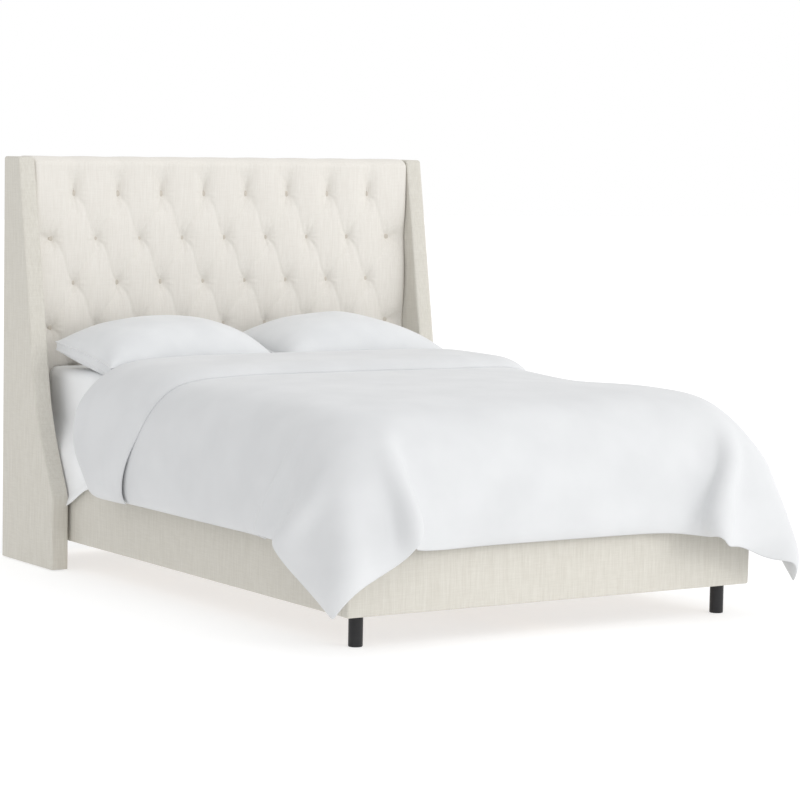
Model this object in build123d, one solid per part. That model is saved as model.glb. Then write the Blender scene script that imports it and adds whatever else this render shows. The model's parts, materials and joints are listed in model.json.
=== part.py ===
from build123d import *
from math import hypot
import os

# A wingback bed for a full-size mattress, dressed with its bedding. Millimetres.
# X runs across the bed and its left is -X, the foot is towards -Y, and +Z is up.
# The origin is on the floor, in the middle of the whole bed's box.
# A depth is a distance from the back of the headboard towards the foot.

# Whole bed, built round its mattress
mattress_width = 1360
mattress_length = 1890
bed_height = 1353
rail_side_room = 49
rail_foot_room = 87.5
wing_set_out = 71
rail_bottom = 94
rail_height = 254
cut_overrun = 20
soft_gap = 0.5

# Wings
wing_thickness = 62
wing_top_depth = 109
wing_knee_depth = 255
wing_knee_height = 494
wing_foot_depth = 377
wing_corner_height = 249
wing_knee_radius = 600
wing_edge_radius = 7
wing_padding = 12
wing_back_cloth = 2

# All bolts: a hexagonal head and a shank with few sides
bolt_head_sides = 6
bolt_shank_sides = 8

# Square pads under the wings
wing_pad_width = 30
wing_pad_height = 4
wing_pad_inset = 55

# Headboard frame behind the tufting
back_cover_thickness = 1.5
frame_thickness = 31.5
panel_thickness = 9
stile_width = 90
cross_rail_width = 90
middle_rail_drop = 793

# Tufted pad
pad_foam = 44
pad_lip = 10
pad_bottom = 365
tuft_rows = 5
tuft_columns = 9
tuft_side_margin = 71.2
tuft_pitch = 149.6
tuft_first_drop = 123.3
tuft_rise = 28
tuft_root = 2
tuft_scale_share = (0.99, 0.90, 0.70, 0.34)
tuft_rise_share = (0, 0.55, 0.88, 1)

# Covered buttons with square prongs
button_radius = 11
button_sides = 8
button_height = 7
button_edge = 3.5
button_clearance = 1.5
prong_width = 3
prong_clearance = 0.1

# Padded kick panel, which the rails butt against
kick_thickness = 13

# Rails
board_thickness = 25
rail_padding = 10
rail_wrap = 4
rail_edge_radius = 6
rail_return = 34
rail_return_thickness = 1.5

# Slats, their cleats and the beam under their middles
corner_block_height = 40
corner_block_width = 90
cleat_width = 30
cleat_height = 41
cleat_start = 125
slat_count = 8
slat_width = 70
slat_thickness = 19
slat_end_gap = 3
slat_first_depth = 190
slat_last_inset = 100.5
beam_width = 38
beam_height = 64
beam_rest_length = 45
beam_rest_width = 100
beam_end_gap = 2

# Legs
leg_radius = 21.3
leg_inset_x = 70
leg_inset_foot = 68
leg_edge = 2.5
leg_bolt_radius = 4
leg_bolt_in_leg = 34
leg_bolt_in_block = 38
bolt_clearance = 0.1
centre_leg_count = 3
centre_leg_first_depth = 500
centre_leg_last_depth = 1500
centre_leg_width = 38
centre_pad_height = 6

# Steel angles at the rail corners, and their bolts
angle_long = 60
angle_short = 42
angle_thickness = 3
angle_bottom = 192
angle_height = 116
angle_hole_inset = 22
angle_bolt_radius = 4
angle_bolt_head_radius = 7
angle_bolt_head_height = 5
angle_bolt_in_board = 20
angle_bolt_in_stile = 46

# Bolts that hold the wings
wing_bolt_radius = 4
wing_bolt_head_radius = 8
wing_bolt_head_height = 5
wing_bolt_low = 230
wing_bolt_top_drop = 173
wing_bolt_bite = 34

# Box spring and mattress
mattress_thickness = 254
box_spring_thickness = 203
mattress_head_gap = 4
mattress_corner_radius = 110
mattress_edge_radius = 30
box_spring_corner_radius = 45

# Flat sheet
sheet_thickness = 2
sheet_clearance = 1.5
sheet_foot_inset = 148
sheet_hem_head = 205
sheet_hem_foot = 290
sheet_spread_height = 420
sheet_bend_rise = 6

# Duvet: its levels run from the tips of the corners up to the flat of the top
duvet_head_depth = 622
duvet_side_reach = 132
duvet_foot_reach = 152
duvet_loft = 43
duvet_tip = 112
duvet_thickness = 33
duvet_hem_side = 285
duvet_hem_foot = 296
duvet_corner_reach = 330
duvet_corner_flare = 30
duvet_fold_thickness = 22
duvet_fold_depth = 1020
duvet_fold_hem_depth = 860
duvet_lobe_parts = 5
duvet_crease_share = 0.88
duvet_bulge_share = (0.16, 0.16, 0.12, 0.076, 0.076, 0.076, 0.076, 0.076)
duvet_level_share = (0, 0.322, 0.577, 0.789, 0.896, 0.945, 0.979, 1)
duvet_side_share = (0, 0.007, 0.027, 0.058, 0.100, 0.132, 0.212, 0.483)
duvet_foot_share = (0, 0.003, 0.010, 0.025, 0.042, 0.056, 0.090, 0.204)
duvet_reach_share = (0.61, 1, 0.77, 0.55, 0.60, 0.68, 0.80, 0.85)
duvet_flare_share = (0.67, 0.67, 0, -1.2, -1.4, -1.35, -2.1, -2.74)
duvet_inner_share = (0, 0.370, 0.636, 0.880, 1)
duvet_inner_side_share = (0, 0.007, 0.027, 0.072, 0.116)
duvet_inner_foot_share = (0, 0.003, 0.010, 0.038, 0.052)
duvet_inner_reach_share = (0.61, 1, 0.77, 0.50, 0.45)
duvet_inner_flare_share = (0.67, 0.67, 0, -0.90, -0.90)

# Pillows
pillow_width = 452
pillow_height = 171
pillow_depth = 382
pillow_spacing = 16
pillow_shift = 32
pillow_tilt = 8
pillow_gap = 0.6
pillow_side_parts = 6
pillow_level_share = (-0.12, 0.10, 0.26, 0.40, 0.55, 0.74, 0.90, 1)
pillow_size_share = (0.66, 0.86, 0.96, 1, 0.95, 0.81, 0.59, 0.34)
pillow_tilt_share = (0.3, 0.6, 0.9, 1, 0.9, 0.7, 0.4, 0.2)
pillow_bulge_share = (0.06, 0.03, -0.01, -0.035, -0.015, 0.04, 0.07, 0.06)

# Places worked out from the sizes above
panel_depth = back_cover_thickness + frame_thickness
pad_back = panel_depth + panel_thickness
tuft_plane = pad_back + pad_foam
mattress_head_depth = tuft_plane + tuft_rise + mattress_head_gap
mattress_foot_depth = mattress_head_depth + mattress_length
mattress_half = mattress_width / 2
rail_outer = mattress_half + rail_side_room
bed_half = rail_outer + wing_set_out
bed_reach = mattress_foot_depth + rail_foot_room
duvet_foot_depth = mattress_foot_depth + duvet_foot_reach
head_back = (duvet_foot_depth + duvet_corner_reach * max(duvet_bulge_share)) / 2
inner_half = bed_half - wing_thickness
frame_top = bed_height - pad_lip
middle_rail_bottom = bed_height - middle_rail_drop
tuft_first_height = bed_height - tuft_first_drop
tuft_spacing = 2 * (inner_half - tuft_side_margin) / (tuft_columns - 1)
kick_front = pad_back + kick_thickness
rail_top = rail_bottom + rail_height
board_outer = rail_outer - rail_padding
board_inner = board_outer - board_thickness
foot_inner = bed_reach - rail_padding - board_thickness
slat_bottom = rail_bottom + corner_block_height + cleat_height
slat_top = slat_bottom + slat_thickness
slat_last_depth = foot_inner - slat_last_inset
leg_x = rail_outer - leg_inset_x
leg_depth = bed_reach - leg_inset_foot
mattress_bottom = slat_top + box_spring_thickness
mattress_top = mattress_bottom + mattress_thickness
sheet_top = mattress_top + sheet_thickness
sheet_foot_depth = mattress_foot_depth - sheet_foot_inset
duvet_half_width = mattress_half + duvet_side_reach
duvet_top = sheet_top + duvet_loft
pillow_length = (mattress_width - pillow_spacing) / 2
pillow_left_x = -(pillow_length + pillow_spacing) / 2 - pillow_shift
pillow_right_x = pillow_left_x + pillow_length + pillow_spacing
wing_base = wing_pad_height
wing_bolt_high = bed_height - wing_bolt_top_drop


def y_at(depth):
    """The Y of a depth measured from the back of the headboard."""
    return head_back - depth


def spread(first, last, count):
    """Evenly spaced places from first to last."""
    step = (last - first) / (count - 1)
    return [first + step * index for index in range(count)]


def block(x_span, depth_span, z_span):
    """A box between two places on each axis."""
    size_x = x_span[1] - x_span[0]
    size_y = depth_span[1] - depth_span[0]
    size_z = z_span[1] - z_span[0]
    middle = (sum(x_span) / 2, y_at(sum(depth_span) / 2), sum(z_span) / 2)
    return Pos(*middle) * Box(size_x, size_y, size_z)


def prism(start, direction, radius, sides, length):
    """A bar with an even number of flat sides, whose radius reaches its corners."""
    return extrude(Plane(origin=start, z_dir=direction) * RegularPolygon(radius, sides), amount=length)


def headed(start, direction, shank_radius, length, head_radius, head_height, clearance=0):
    """A bolt. Its hexagonal head's underside is at the start and its shank runs along the direction."""
    shank = prism(start, direction, shank_radius + clearance, bolt_shank_sides, length + clearance)
    back = tuple(-part for part in direction)
    head = prism(start, back, head_radius + 2 * clearance, bolt_head_sides, head_height + clearance)
    return shank + head


def flat_sided(rings, warped=False):
    """A solid between rings of corners, with flat faces between them. Warped sides are split in two."""
    faces = [Face(Wire.make_polygon(ring, close=True)) for ring in (rings[0], rings[-1])]
    for lower, upper in zip(rings, rings[1:]):
        for index in range(len(lower)):
            corners = [lower[index - 1], lower[index], upper[index], upper[index - 1]]
            sides = [corners[:3], corners[2:] + corners[:1]] if warped else [corners]
            faces += [Face(Wire.make_polygon(side, close=True)) for side in sides]
    return Solid(Shell(faces))


def bowed(start, end, bulge, parts):
    """Points from start up to the end, but without it, on a curve bowed to the right by the bulge."""
    run_x, run_y = end[0] - start[0], end[1] - start[1]
    length = hypot(run_x, run_y)
    points = []
    for index in range(parts):
        share = index / parts
        out = 4 * share * (1 - share) * bulge / length
        points.append((start[0] + run_x * share + run_y * out, start[1] + run_y * share - run_x * out))
    return points


def group(pieces):
    """Several separate solids kept as one node."""
    return Compound(children=[piece if isinstance(piece, Solid) else piece.solid() for piece in pieces])


def on_both_sides(piece):
    """The left piece and its mirror image on the right."""
    return piece, mirror(piece, about=Plane.YZ)


def save(shape, node):
    export_step(shape, f"parts/{node}.step")


# Wings

def wing_outline():
    """A wing from the side: an upright back and a front edge that flares below an eased knee."""
    corners = [
        (y_at(0), wing_base),
        (y_at(0), bed_height),
        (y_at(wing_top_depth), bed_height),
        (y_at(wing_knee_depth), wing_knee_height),
        (y_at(wing_foot_depth), wing_corner_height),
        (y_at(wing_foot_depth), wing_base),
    ]
    face = make_face(Polyline(*corners, close=True))
    knee = face.vertices().sort_by_distance((y_at(wing_knee_depth), wing_knee_height, 0))[0]
    return fillet(knee, wing_knee_radius)


def wing_core_outline():
    """The wooden core lies inside the padding. It runs down to the floor pads and back to the rear cloth."""
    inset = offset(wing_outline(), amount=-wing_padding, kind=Kind.INTERSECTION)
    inset += Pos(0, -wing_padding) * inset
    return inset + Pos(wing_padding - wing_back_cloth, 0) * inset


def from_side(outline, x_start, thickness):
    """A side view given thickness, from x_start towards +X."""
    plane = Plane(origin=(x_start, 0, 0), x_dir=(0, 1, 0), z_dir=(1, 0, 0))
    return extrude(plane * outline, amount=thickness, dir=(1, 0, 0))


def wing_bolt_places():
    """Depth and heights of the bolts through the left stile into the left wing."""
    depth = back_cover_thickness + frame_thickness / 2
    return [(y_at(depth), height) for height in (wing_bolt_low, wing_bolt_high)]


def wing_bolt(y, z, clearance=0):
    """A bolt that runs outwards from the inner edge of the left stile into the core."""
    length = stile_width + wing_padding + wing_bolt_bite
    start = (stile_width - inner_half, y, z)
    return headed(start, (-1, 0, 0), wing_bolt_radius, length, wing_bolt_head_radius,
                  wing_bolt_head_height, clearance)


def left_wing():
    """The padded cover and the core of the left wing, bored for their bolts."""
    cover = from_side(wing_outline(), -bed_half, wing_thickness)
    rims = [edge for edge in cover.edges()
            if abs(abs(edge.center().X + bed_half - wing_thickness / 2) - wing_thickness / 2) < soft_gap
            and edge.center().Y < y_at(soft_gap) and edge.center().Z > wing_base + soft_gap]
    cover = fillet(rims, wing_edge_radius)
    core = from_side(wing_core_outline(), wing_padding - bed_half, wing_thickness - 2 * wing_padding)
    cover -= core
    for y, z in wing_bolt_places():
        bore = wing_bolt(y, z, bolt_clearance)
        cover -= bore
        core -= bore
    return cover, core


def wing_floor_pads():
    """Two square nylon pads under each wing."""
    x = bed_half - wing_thickness / 2
    half = wing_pad_width / 2
    return [block((side * x - half, side * x + half), (depth - half, depth + half), (0, wing_pad_height))
            for side in (-1, 1) for depth in (wing_pad_inset, wing_foot_depth - wing_pad_inset)]


# Headboard

def left_stile():
    stile = block((-inner_half, stile_width - inner_half),
                  (back_cover_thickness, panel_depth), (rail_bottom, frame_top))
    for y, z in wing_bolt_places():
        stile -= wing_bolt(y, z, bolt_clearance)
    return stile - stile_bolt(bolt_clearance)


def cross_rail_bottoms():
    """Lower edges of the bottom, middle and top rails."""
    return rail_bottom, middle_rail_bottom, frame_top - cross_rail_width


def cross_rail(bottom):
    half = inner_half - stile_width
    return block((-half, half), (back_cover_thickness, panel_depth), (bottom, bottom + cross_rail_width))


def button_places():
    """X and Z of each button. Every second row has one button more, out by half a space."""
    places = []
    for row in range(tuft_rows):
        count = tuft_columns if row % 2 else tuft_columns - 1
        half_run = (count - 1) * tuft_spacing / 2
        height = tuft_first_height - row * tuft_pitch
        places += [(column * tuft_spacing - half_run, height) for column in range(count)]
    return places


def tuft_cells():
    """Outlines, in X and Z, of the areas that the pleats between the buttons divide the pad into."""
    side = inner_half - soft_gap
    half = tuft_spacing / 2
    row = [tuft_first_height - index * tuft_pitch for index in range(tuft_rows)]
    last = tuft_rows - 1
    outer = (tuft_columns - 1) * half
    cells = []
    for index in range(1, last):
        wide = index % 2
        count = tuft_columns - 1 if wide else tuft_columns - 2
        for column in range(count):
            x = (2 * column - count + 1) * half
            cells.append([(x, row[index - 1]), (x + half, row[index]), (x, row[index + 1]),
                          (x - half, row[index])])
    for column in range(tuft_columns - 2):
        x = (2 * column - tuft_columns + 3) * half
        cells.append([(x - half, bed_height), (x + half, bed_height), (x + half, row[0]),
                      (x, row[1]), (x - half, row[0])])
        cells.append([(x - half, pad_bottom), (x - half, row[last]), (x, row[last - 1]),
                      (x + half, row[last]), (x + half, pad_bottom)])
    edge_cells = [[(outer - half, bed_height), (side, bed_height), (side, row[1]), (outer, row[1]),
                   (outer - half, row[0])],
                  [(outer - half, pad_bottom), (outer - half, row[last]), (outer, row[last - 1]),
                   (side, row[last - 1]), (side, pad_bottom)]]
    for index in range(1, last - 1, 2):
        edge_cells.append([(side, row[index]), (side, row[index + 2]), (outer, row[index + 2]),
                           (outer - half, row[index + 1]), (outer, row[index])])
    for cell in edge_cells:
        cells.append(cell)
        cells.append([(-x, z) for x, z in reversed(cell)])
    return cells


def crown(cell):
    """One stuffed area: its outline drawn in step by step as it rises from the pleats."""
    centre_x = sum(x for x, z in cell) / len(cell)
    centre_z = sum(z for x, z in cell) / len(cell)
    rings = []
    for scale, rise in zip(tuft_scale_share, tuft_rise_share):
        depth = tuft_plane - tuft_root + rise * (tuft_rise + tuft_root)
        rings.append([(centre_x + (x - centre_x) * scale, y_at(depth), centre_z + (z - centre_z) * scale)
                      for x, z in cell])
    return flat_sided(rings)


def tufted_pad():
    """Foam in its cover: a slab with a lip over the frame's top, stuffed areas, pleats and button seats."""
    side = inner_half - soft_gap
    pad = block((-side, side), (pad_back, tuft_plane), (pad_bottom, bed_height))
    pad += block((-side, side), (0, pad_back), (frame_top, bed_height))
    pad += [crown(cell) for cell in tuft_cells()]
    seats = []
    for x, z in button_places():
        seats.append(prism((x, y_at(tuft_plane), z), (0, -1, 0), button_radius + button_clearance,
                           button_sides, tuft_rise + cut_overrun))
        seats.append(prong(x, z, prong_clearance))
    return pad - seats


def prong(x, z, clearance=0):
    """The square shank of a button, through the foam to the panel."""
    half = prong_width / 2 + clearance
    return block((x - half, x + half), (pad_back - clearance, tuft_plane), (z - half, z + half))


def tuft_button(x, z):
    """A covered button: a cap with an eased rim, and its prong."""
    cap = prism((x, y_at(tuft_plane), z), (0, -1, 0), button_radius, button_sides, button_height)
    cap = chamfer(cap.faces().sort_by(Axis.Y)[0].edges(), button_edge)
    return cap + prong(x, z)


def headboard_panel():
    """The plywood that the pad and its buttons are fixed to."""
    panel = block((-inner_half, inner_half), (panel_depth, pad_back), (rail_bottom, frame_top))
    return panel - on_both_sides(stile_bolt(bolt_clearance))


def headboard_back_cover():
    return block((-inner_half, inner_half), (0, back_cover_thickness), (rail_bottom, frame_top))


def kick_panel():
    """The padded strip below the tufting, hidden by the mattress."""
    side = inner_half - soft_gap
    kick = block((-side, side), (pad_back, kick_front), (rail_bottom, pad_bottom))
    return kick - on_both_sides(stile_bolt(bolt_clearance))


# Rails

def left_rail_board():
    """The board inside the left side rail, bored for the angles' bolts."""
    board = block((-board_outer, -board_inner), (kick_front, foot_inner),
                  (rail_bottom + rail_wrap, rail_top - rail_wrap))
    return board - side_bolts(bolt_clearance)


def left_rail_cover():
    """Padding and cloth round the outer side of the left rail, turned in at the top."""
    cover = block((-rail_outer, -board_inner), (kick_front, foot_inner), (rail_bottom, rail_top))
    outer_rims = cover.edges().filter_by(Axis.Y).group_by(Axis.X)[0]
    cover = fillet(outer_rims, rail_edge_radius)
    cover -= block((-board_outer, -board_inner), (kick_front, foot_inner),
                   (rail_bottom + rail_wrap, rail_top - rail_wrap))
    cover += block((-board_inner, rail_return_thickness - board_inner), (kick_front, foot_inner),
                   (rail_top - rail_return, rail_top))
    return cover


def foot_rail_board():
    board = block((-board_outer, board_outer), (foot_inner, foot_inner + board_thickness),
                  (rail_bottom + rail_wrap, rail_top - rail_wrap))
    return board - on_both_sides(foot_bolt(bolt_clearance))


def foot_rail_cover():
    """Padding and cloth round the front, the ends and the edges of the foot rail."""
    cover = block((-rail_outer, rail_outer), (foot_inner, bed_reach), (rail_bottom, rail_top))
    front = cover.faces().sort_by(Axis.Y)[0]
    cover = fillet(front.edges(), rail_edge_radius)
    cover -= block((-board_outer, board_outer), (foot_inner, foot_inner + board_thickness),
                   (rail_bottom + rail_wrap, rail_top - rail_wrap))
    return cover


# Corner angles and their bolts

def corner_angle(start_depth, towards_foot):
    """A steel angle in a corner of the left rail: its long leg on the rail, its short leg across."""
    step = 1 if towards_foot else -1
    x = -board_inner
    corners = [
        (x, y_at(start_depth)),
        (x, y_at(start_depth + step * angle_long)),
        (x + angle_thickness, y_at(start_depth + step * angle_long)),
        (x + angle_thickness, y_at(start_depth + step * angle_thickness)),
        (x + angle_short, y_at(start_depth + step * angle_thickness)),
        (x + angle_short, y_at(start_depth)),
    ]
    face = make_face(Polyline(*corners, close=True))
    return extrude(Pos(0, 0, angle_bottom) * face, amount=angle_height)


def angle_bolt(start, direction, length, clearance):
    return headed(start, direction, angle_bolt_radius, length, angle_bolt_head_radius,
                  angle_bolt_head_height, clearance)


def side_bolts(clearance=0):
    """Bolts through the long legs of both angles into the left rail board."""
    x = angle_thickness - board_inner
    z = angle_bottom + angle_height / 2
    away = angle_long - angle_hole_inset
    return [angle_bolt((x, y_at(depth), z), (-1, 0, 0), angle_bolt_in_board, clearance)
            for depth in (kick_front + away, foot_inner - away)]


def stile_bolt(clearance=0):
    """The bolt through the short leg of the head angle into the left stile."""
    x = angle_short - angle_hole_inset / 2 - board_inner
    start = (x, y_at(kick_front + angle_thickness), angle_bottom + angle_height / 2)
    return angle_bolt(start, (0, 1, 0), angle_bolt_in_stile, clearance)


def foot_bolt(clearance=0):
    """The bolt through the short leg of the foot angle into the foot rail board."""
    x = angle_short - angle_hole_inset / 2 - board_inner
    start = (x, y_at(foot_inner - angle_thickness), angle_bottom + angle_height / 2)
    return angle_bolt(start, (0, -1, 0), angle_bolt_in_board, clearance)


def head_angle():
    return corner_angle(kick_front, True) - side_bolts(bolt_clearance) - stile_bolt(bolt_clearance)


def foot_angle():
    return corner_angle(foot_inner, False) - side_bolts(bolt_clearance) - foot_bolt(bolt_clearance)


# Cleats, slats and the middle beam

def left_cleat():
    """The strip on the inside of the left rail that carries the slat ends."""
    return block((-board_inner, cleat_width - board_inner), (cleat_start, foot_inner),
                 (slat_bottom - cleat_height, slat_bottom))


def slats():
    """Flat boards across the bed that lie on the cleats."""
    half = board_inner - slat_end_gap
    return [block((-half, half), (depth - slat_width / 2, depth + slat_width / 2), (slat_bottom, slat_top))
            for depth in spread(slat_first_depth, slat_last_depth, slat_count)]


def centre_beam():
    """The beam along the bed that holds up the middle of the slats."""
    half = beam_width / 2
    return block((-half, half), (kick_front + beam_end_gap, foot_inner - beam_end_gap),
                 (slat_bottom - beam_height, slat_bottom))


def beam_rests():
    """Two blocks that carry the beam's ends, one on the kick panel and one on the foot rail."""
    half = beam_rest_width / 2
    top = slat_bottom - beam_height
    return [block((-half, half), span, (rail_bottom + rail_wrap, top))
            for span in ((kick_front, kick_front + beam_rest_length), (foot_inner - beam_rest_length, foot_inner))]


# Legs

def left_corner_block():
    """The block in the left foot corner that the front leg is screwed up into."""
    corner = block((-board_inner, corner_block_width - board_inner),
                   (foot_inner - corner_block_width, foot_inner),
                   (rail_bottom, rail_bottom + corner_block_height))
    return corner - left_leg_bolt(bolt_clearance)


def left_leg():
    """A short round turned leg with an eased foot."""
    leg = Pos(-leg_x, y_at(leg_depth), rail_bottom / 2) * Cylinder(leg_radius, rail_bottom)
    leg = chamfer(leg.edges().sort_by(Axis.Z)[0], leg_edge)
    return leg - left_leg_bolt(bolt_clearance)


def left_leg_bolt(clearance=0):
    start = (-leg_x, y_at(leg_depth), rail_bottom - leg_bolt_in_leg - clearance)
    length = leg_bolt_in_leg + leg_bolt_in_block + 2 * clearance
    return prism(start, (0, 0, 1), leg_bolt_radius + clearance, bolt_shank_sides, length)


def centre_leg_depths():
    return spread(centre_leg_first_depth, centre_leg_last_depth, centre_leg_count)


def centre_legs():
    """Square legs under the beam."""
    half = centre_leg_width / 2
    return [block((-half, half), (depth - half, depth + half), (centre_pad_height, slat_bottom - beam_height))
            for depth in centre_leg_depths()]


def centre_leg_pads():
    """Square nylon pads under the centre legs."""
    half = centre_leg_width / 2
    return [block((-half, half), (depth - half, depth + half), (0, centre_pad_height))
            for depth in centre_leg_depths()]


# Box spring, mattress and bedding

def box_spring():
    spring = block((-mattress_half, mattress_half), (mattress_head_depth, mattress_foot_depth),
                   (slat_top, mattress_bottom))
    return fillet(spring.edges().filter_by(Axis.Z), box_spring_corner_radius)


def mattress():
    """A mattress with rounded corners and an eased top and bottom border."""
    body = block((-mattress_half, mattress_half), (mattress_head_depth, mattress_foot_depth),
                 (mattress_bottom, mattress_top))
    body = fillet(body.edges().filter_by(Axis.Z), mattress_corner_radius)
    rims = body.faces().sort_by(Axis.Z)[0].edges() + body.faces().sort_by(Axis.Z)[-1].edges()
    return chamfer(rims, mattress_edge_radius)


def sheet_outline(grow):
    """The sheet across the bed: flat on the mattress, then out over the rails to its hem."""
    out = rail_outer + sheet_clearance + grow
    near = mattress_half + sheet_clearance + grow
    top = mattress_top + grow
    radius = mattress_edge_radius + grow
    bend = rail_top + sheet_bend_rise
    hem = sheet_hem_head - cut_overrun
    half = [(out, hem), (out, bend), (near, sheet_spread_height), (near, top - radius)]
    right = Polyline(*half)
    left = Polyline(*[(-x, z) for x, z in half])
    over = Polyline((near - radius, top), (radius - near, top))
    corners = [TangentArc((side * near, top - radius), (side * (near - radius), top), tangent=(0, 1))
               for side in (-1, 1)]
    return make_face([right, corners[1], over, corners[0], left, Line(half[0], (-out, hem))])


def from_foot(outline, depth_low, depth_high):
    """A view from the foot given length, between two depths."""
    plane = Plane(origin=(0, y_at(depth_low), 0), x_dir=(1, 0, 0), z_dir=(0, -1, 0))
    return extrude(plane * outline, amount=depth_high - depth_low, dir=(0, -1, 0))


def flat_sheet():
    """The sheet over the mattress. Its side hem rises from the headboard to the duvet."""
    low, high = mattress_head_depth + soft_gap, sheet_foot_depth
    cloth = from_foot(sheet_outline(sheet_thickness) - sheet_outline(0), low, high)
    below = sheet_hem_head - 2 * cut_overrun
    hem = [(y_at(low - cut_overrun), below), (y_at(low - cut_overrun), sheet_hem_head),
           (y_at(duvet_head_depth), sheet_hem_foot), (y_at(high + cut_overrun), sheet_hem_foot),
           (y_at(high + cut_overrun), below)]
    under = make_face(Polyline(*hem, close=True))
    return cloth - from_side(under, -2 * bed_half, 4 * bed_half)


def duvet_ring(z, side, foot, reach, flare, bulge, head):
    """The duvet from above at one height: straight sides, a straight foot and a lobe at each corner."""
    foot_y = y_at(foot)
    tip = (side + flare, foot_y - flare)
    side_start = (side, foot_y + reach)
    foot_end = (side - reach * duvet_crease_share, foot_y)
    right = bowed(foot_end, tip, bulge, duvet_lobe_parts) + bowed(tip, side_start, bulge, duvet_lobe_parts)
    right += [side_start, (side, y_at(head))]
    left = [(-x, y) for x, y in reversed(right)]
    return [(x, y, z) for x, y in right + left]


def duvet_form(grow, bottom, top, head, shares):
    """A solid up through the duvet's levels, grown outwards by a thickness."""
    rings = []
    for level, side, foot, reach, flare, bulge in zip(*shares):
        rings.append(duvet_ring(
            bottom + level * (top - bottom),
            duvet_half_width * (1 - side) + grow,
            duvet_foot_depth * (1 - foot) + grow,
            duvet_corner_reach * reach,
            duvet_corner_flare * flare,
            duvet_corner_reach * reach * bulge,
            head))
    return flat_sided(rings, warped=True)


def duvet():
    """One thick cover with its head end folded back on itself and its foot corners hanging in points."""
    outer_shares = (duvet_level_share, duvet_side_share, duvet_foot_share, duvet_reach_share,
                    duvet_flare_share, duvet_bulge_share)
    inner_shares = (duvet_inner_share, duvet_inner_side_share, duvet_inner_foot_share,
                    duvet_inner_reach_share, duvet_inner_flare_share, duvet_bulge_share)
    before_head = duvet_head_depth - cut_overrun
    body = duvet_form(0, duvet_tip, duvet_top, before_head, outer_shares)
    fold = duvet_form(duvet_fold_thickness, duvet_tip, duvet_top + duvet_fold_thickness, before_head,
                      outer_shares)
    room = duvet_form(-duvet_thickness, duvet_tip - cut_overrun, sheet_top + soft_gap,
                      before_head - cut_overrun, inner_shares)
    above = duvet_top + duvet_fold_thickness + cut_overrun
    slope = (duvet_fold_depth - duvet_fold_hem_depth) / (duvet_top - duvet_hem_side)
    low = duvet_tip - 2 * cut_overrun
    fold_side = [(y_at(before_head - cut_overrun), low),
                 (y_at(before_head - cut_overrun), above),
                 (y_at(duvet_fold_depth + slope * (above - duvet_top)), above),
                 (y_at(duvet_fold_hem_depth - slope * (duvet_hem_side - low)), low)]
    fold = fold & from_side(make_face(Polyline(*fold_side, close=True)), -2 * bed_half, 4 * bed_half)
    tip_depth = duvet_foot_depth + duvet_corner_flare
    side_hem = [(y_at(before_head - cut_overrun), low),
                (y_at(before_head - cut_overrun), duvet_hem_side),
                (y_at(duvet_foot_depth - duvet_corner_reach), duvet_hem_foot),
                (y_at(tip_depth), duvet_tip), (y_at(tip_depth + cut_overrun), low)]
    under_side = from_side(make_face(Polyline(*side_hem, close=True)), -2 * bed_half, 4 * bed_half)
    tip_x = duvet_half_width + duvet_corner_flare
    crease_x = duvet_half_width - duvet_corner_reach * duvet_crease_share
    foot_hem = [(-tip_x, low), (-tip_x, duvet_tip), (-crease_x, duvet_hem_foot),
                (crease_x, duvet_hem_foot), (tip_x, duvet_tip), (tip_x, low)]
    crease_depth = duvet_foot_depth - duvet_corner_reach
    under_foot = from_foot(make_face(Polyline(*foot_hem, close=True)), crease_depth,
                           tip_depth + duvet_corner_reach)
    head_end = block((-2 * bed_half, 2 * bed_half), (before_head - 2 * cut_overrun, duvet_head_depth), (low, above))
    return body + fold - room - head_end - under_side - under_foot


def pillow_ring(plane, length, width, bulge):
    """Four curves between four corners, bowed outwards by the bulge, or drawn in where it is less than 0."""
    x, y = length / 2, width / 2
    corners = [(-x, -y), (x, -y), (x, y), (-x, y)]
    ring = []
    for index, end in enumerate(corners):
        ring += bowed(corners[index - 1], end, bulge, pillow_side_parts)
    return [plane.from_local_coords((*point, 0)) for point in ring]


def pillow(centre_x):
    """A soft pillow, plump in the middle and drawn in along its seam, that slopes down to the foot."""
    base = sheet_top + pillow_gap
    rings = []
    for level, size, tilt, bulge in zip(pillow_level_share, pillow_size_share, pillow_tilt_share,
                                        pillow_bulge_share):
        centre = (centre_x, y_at(pillow_depth), base + level * pillow_height)
        plane = Plane(origin=centre).rotated((pillow_tilt * tilt, 0, 0))
        taper = pillow_width * (1 - size)
        rings.append(pillow_ring(plane, pillow_length - taper, pillow_width - taper, pillow_width * bulge))
    below = block((centre_x - pillow_length, centre_x + pillow_length),
                  (pillow_depth - pillow_length, pillow_depth + pillow_length), (base - pillow_height, base))
    return flat_sided(rings, warped=True) - below


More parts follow.
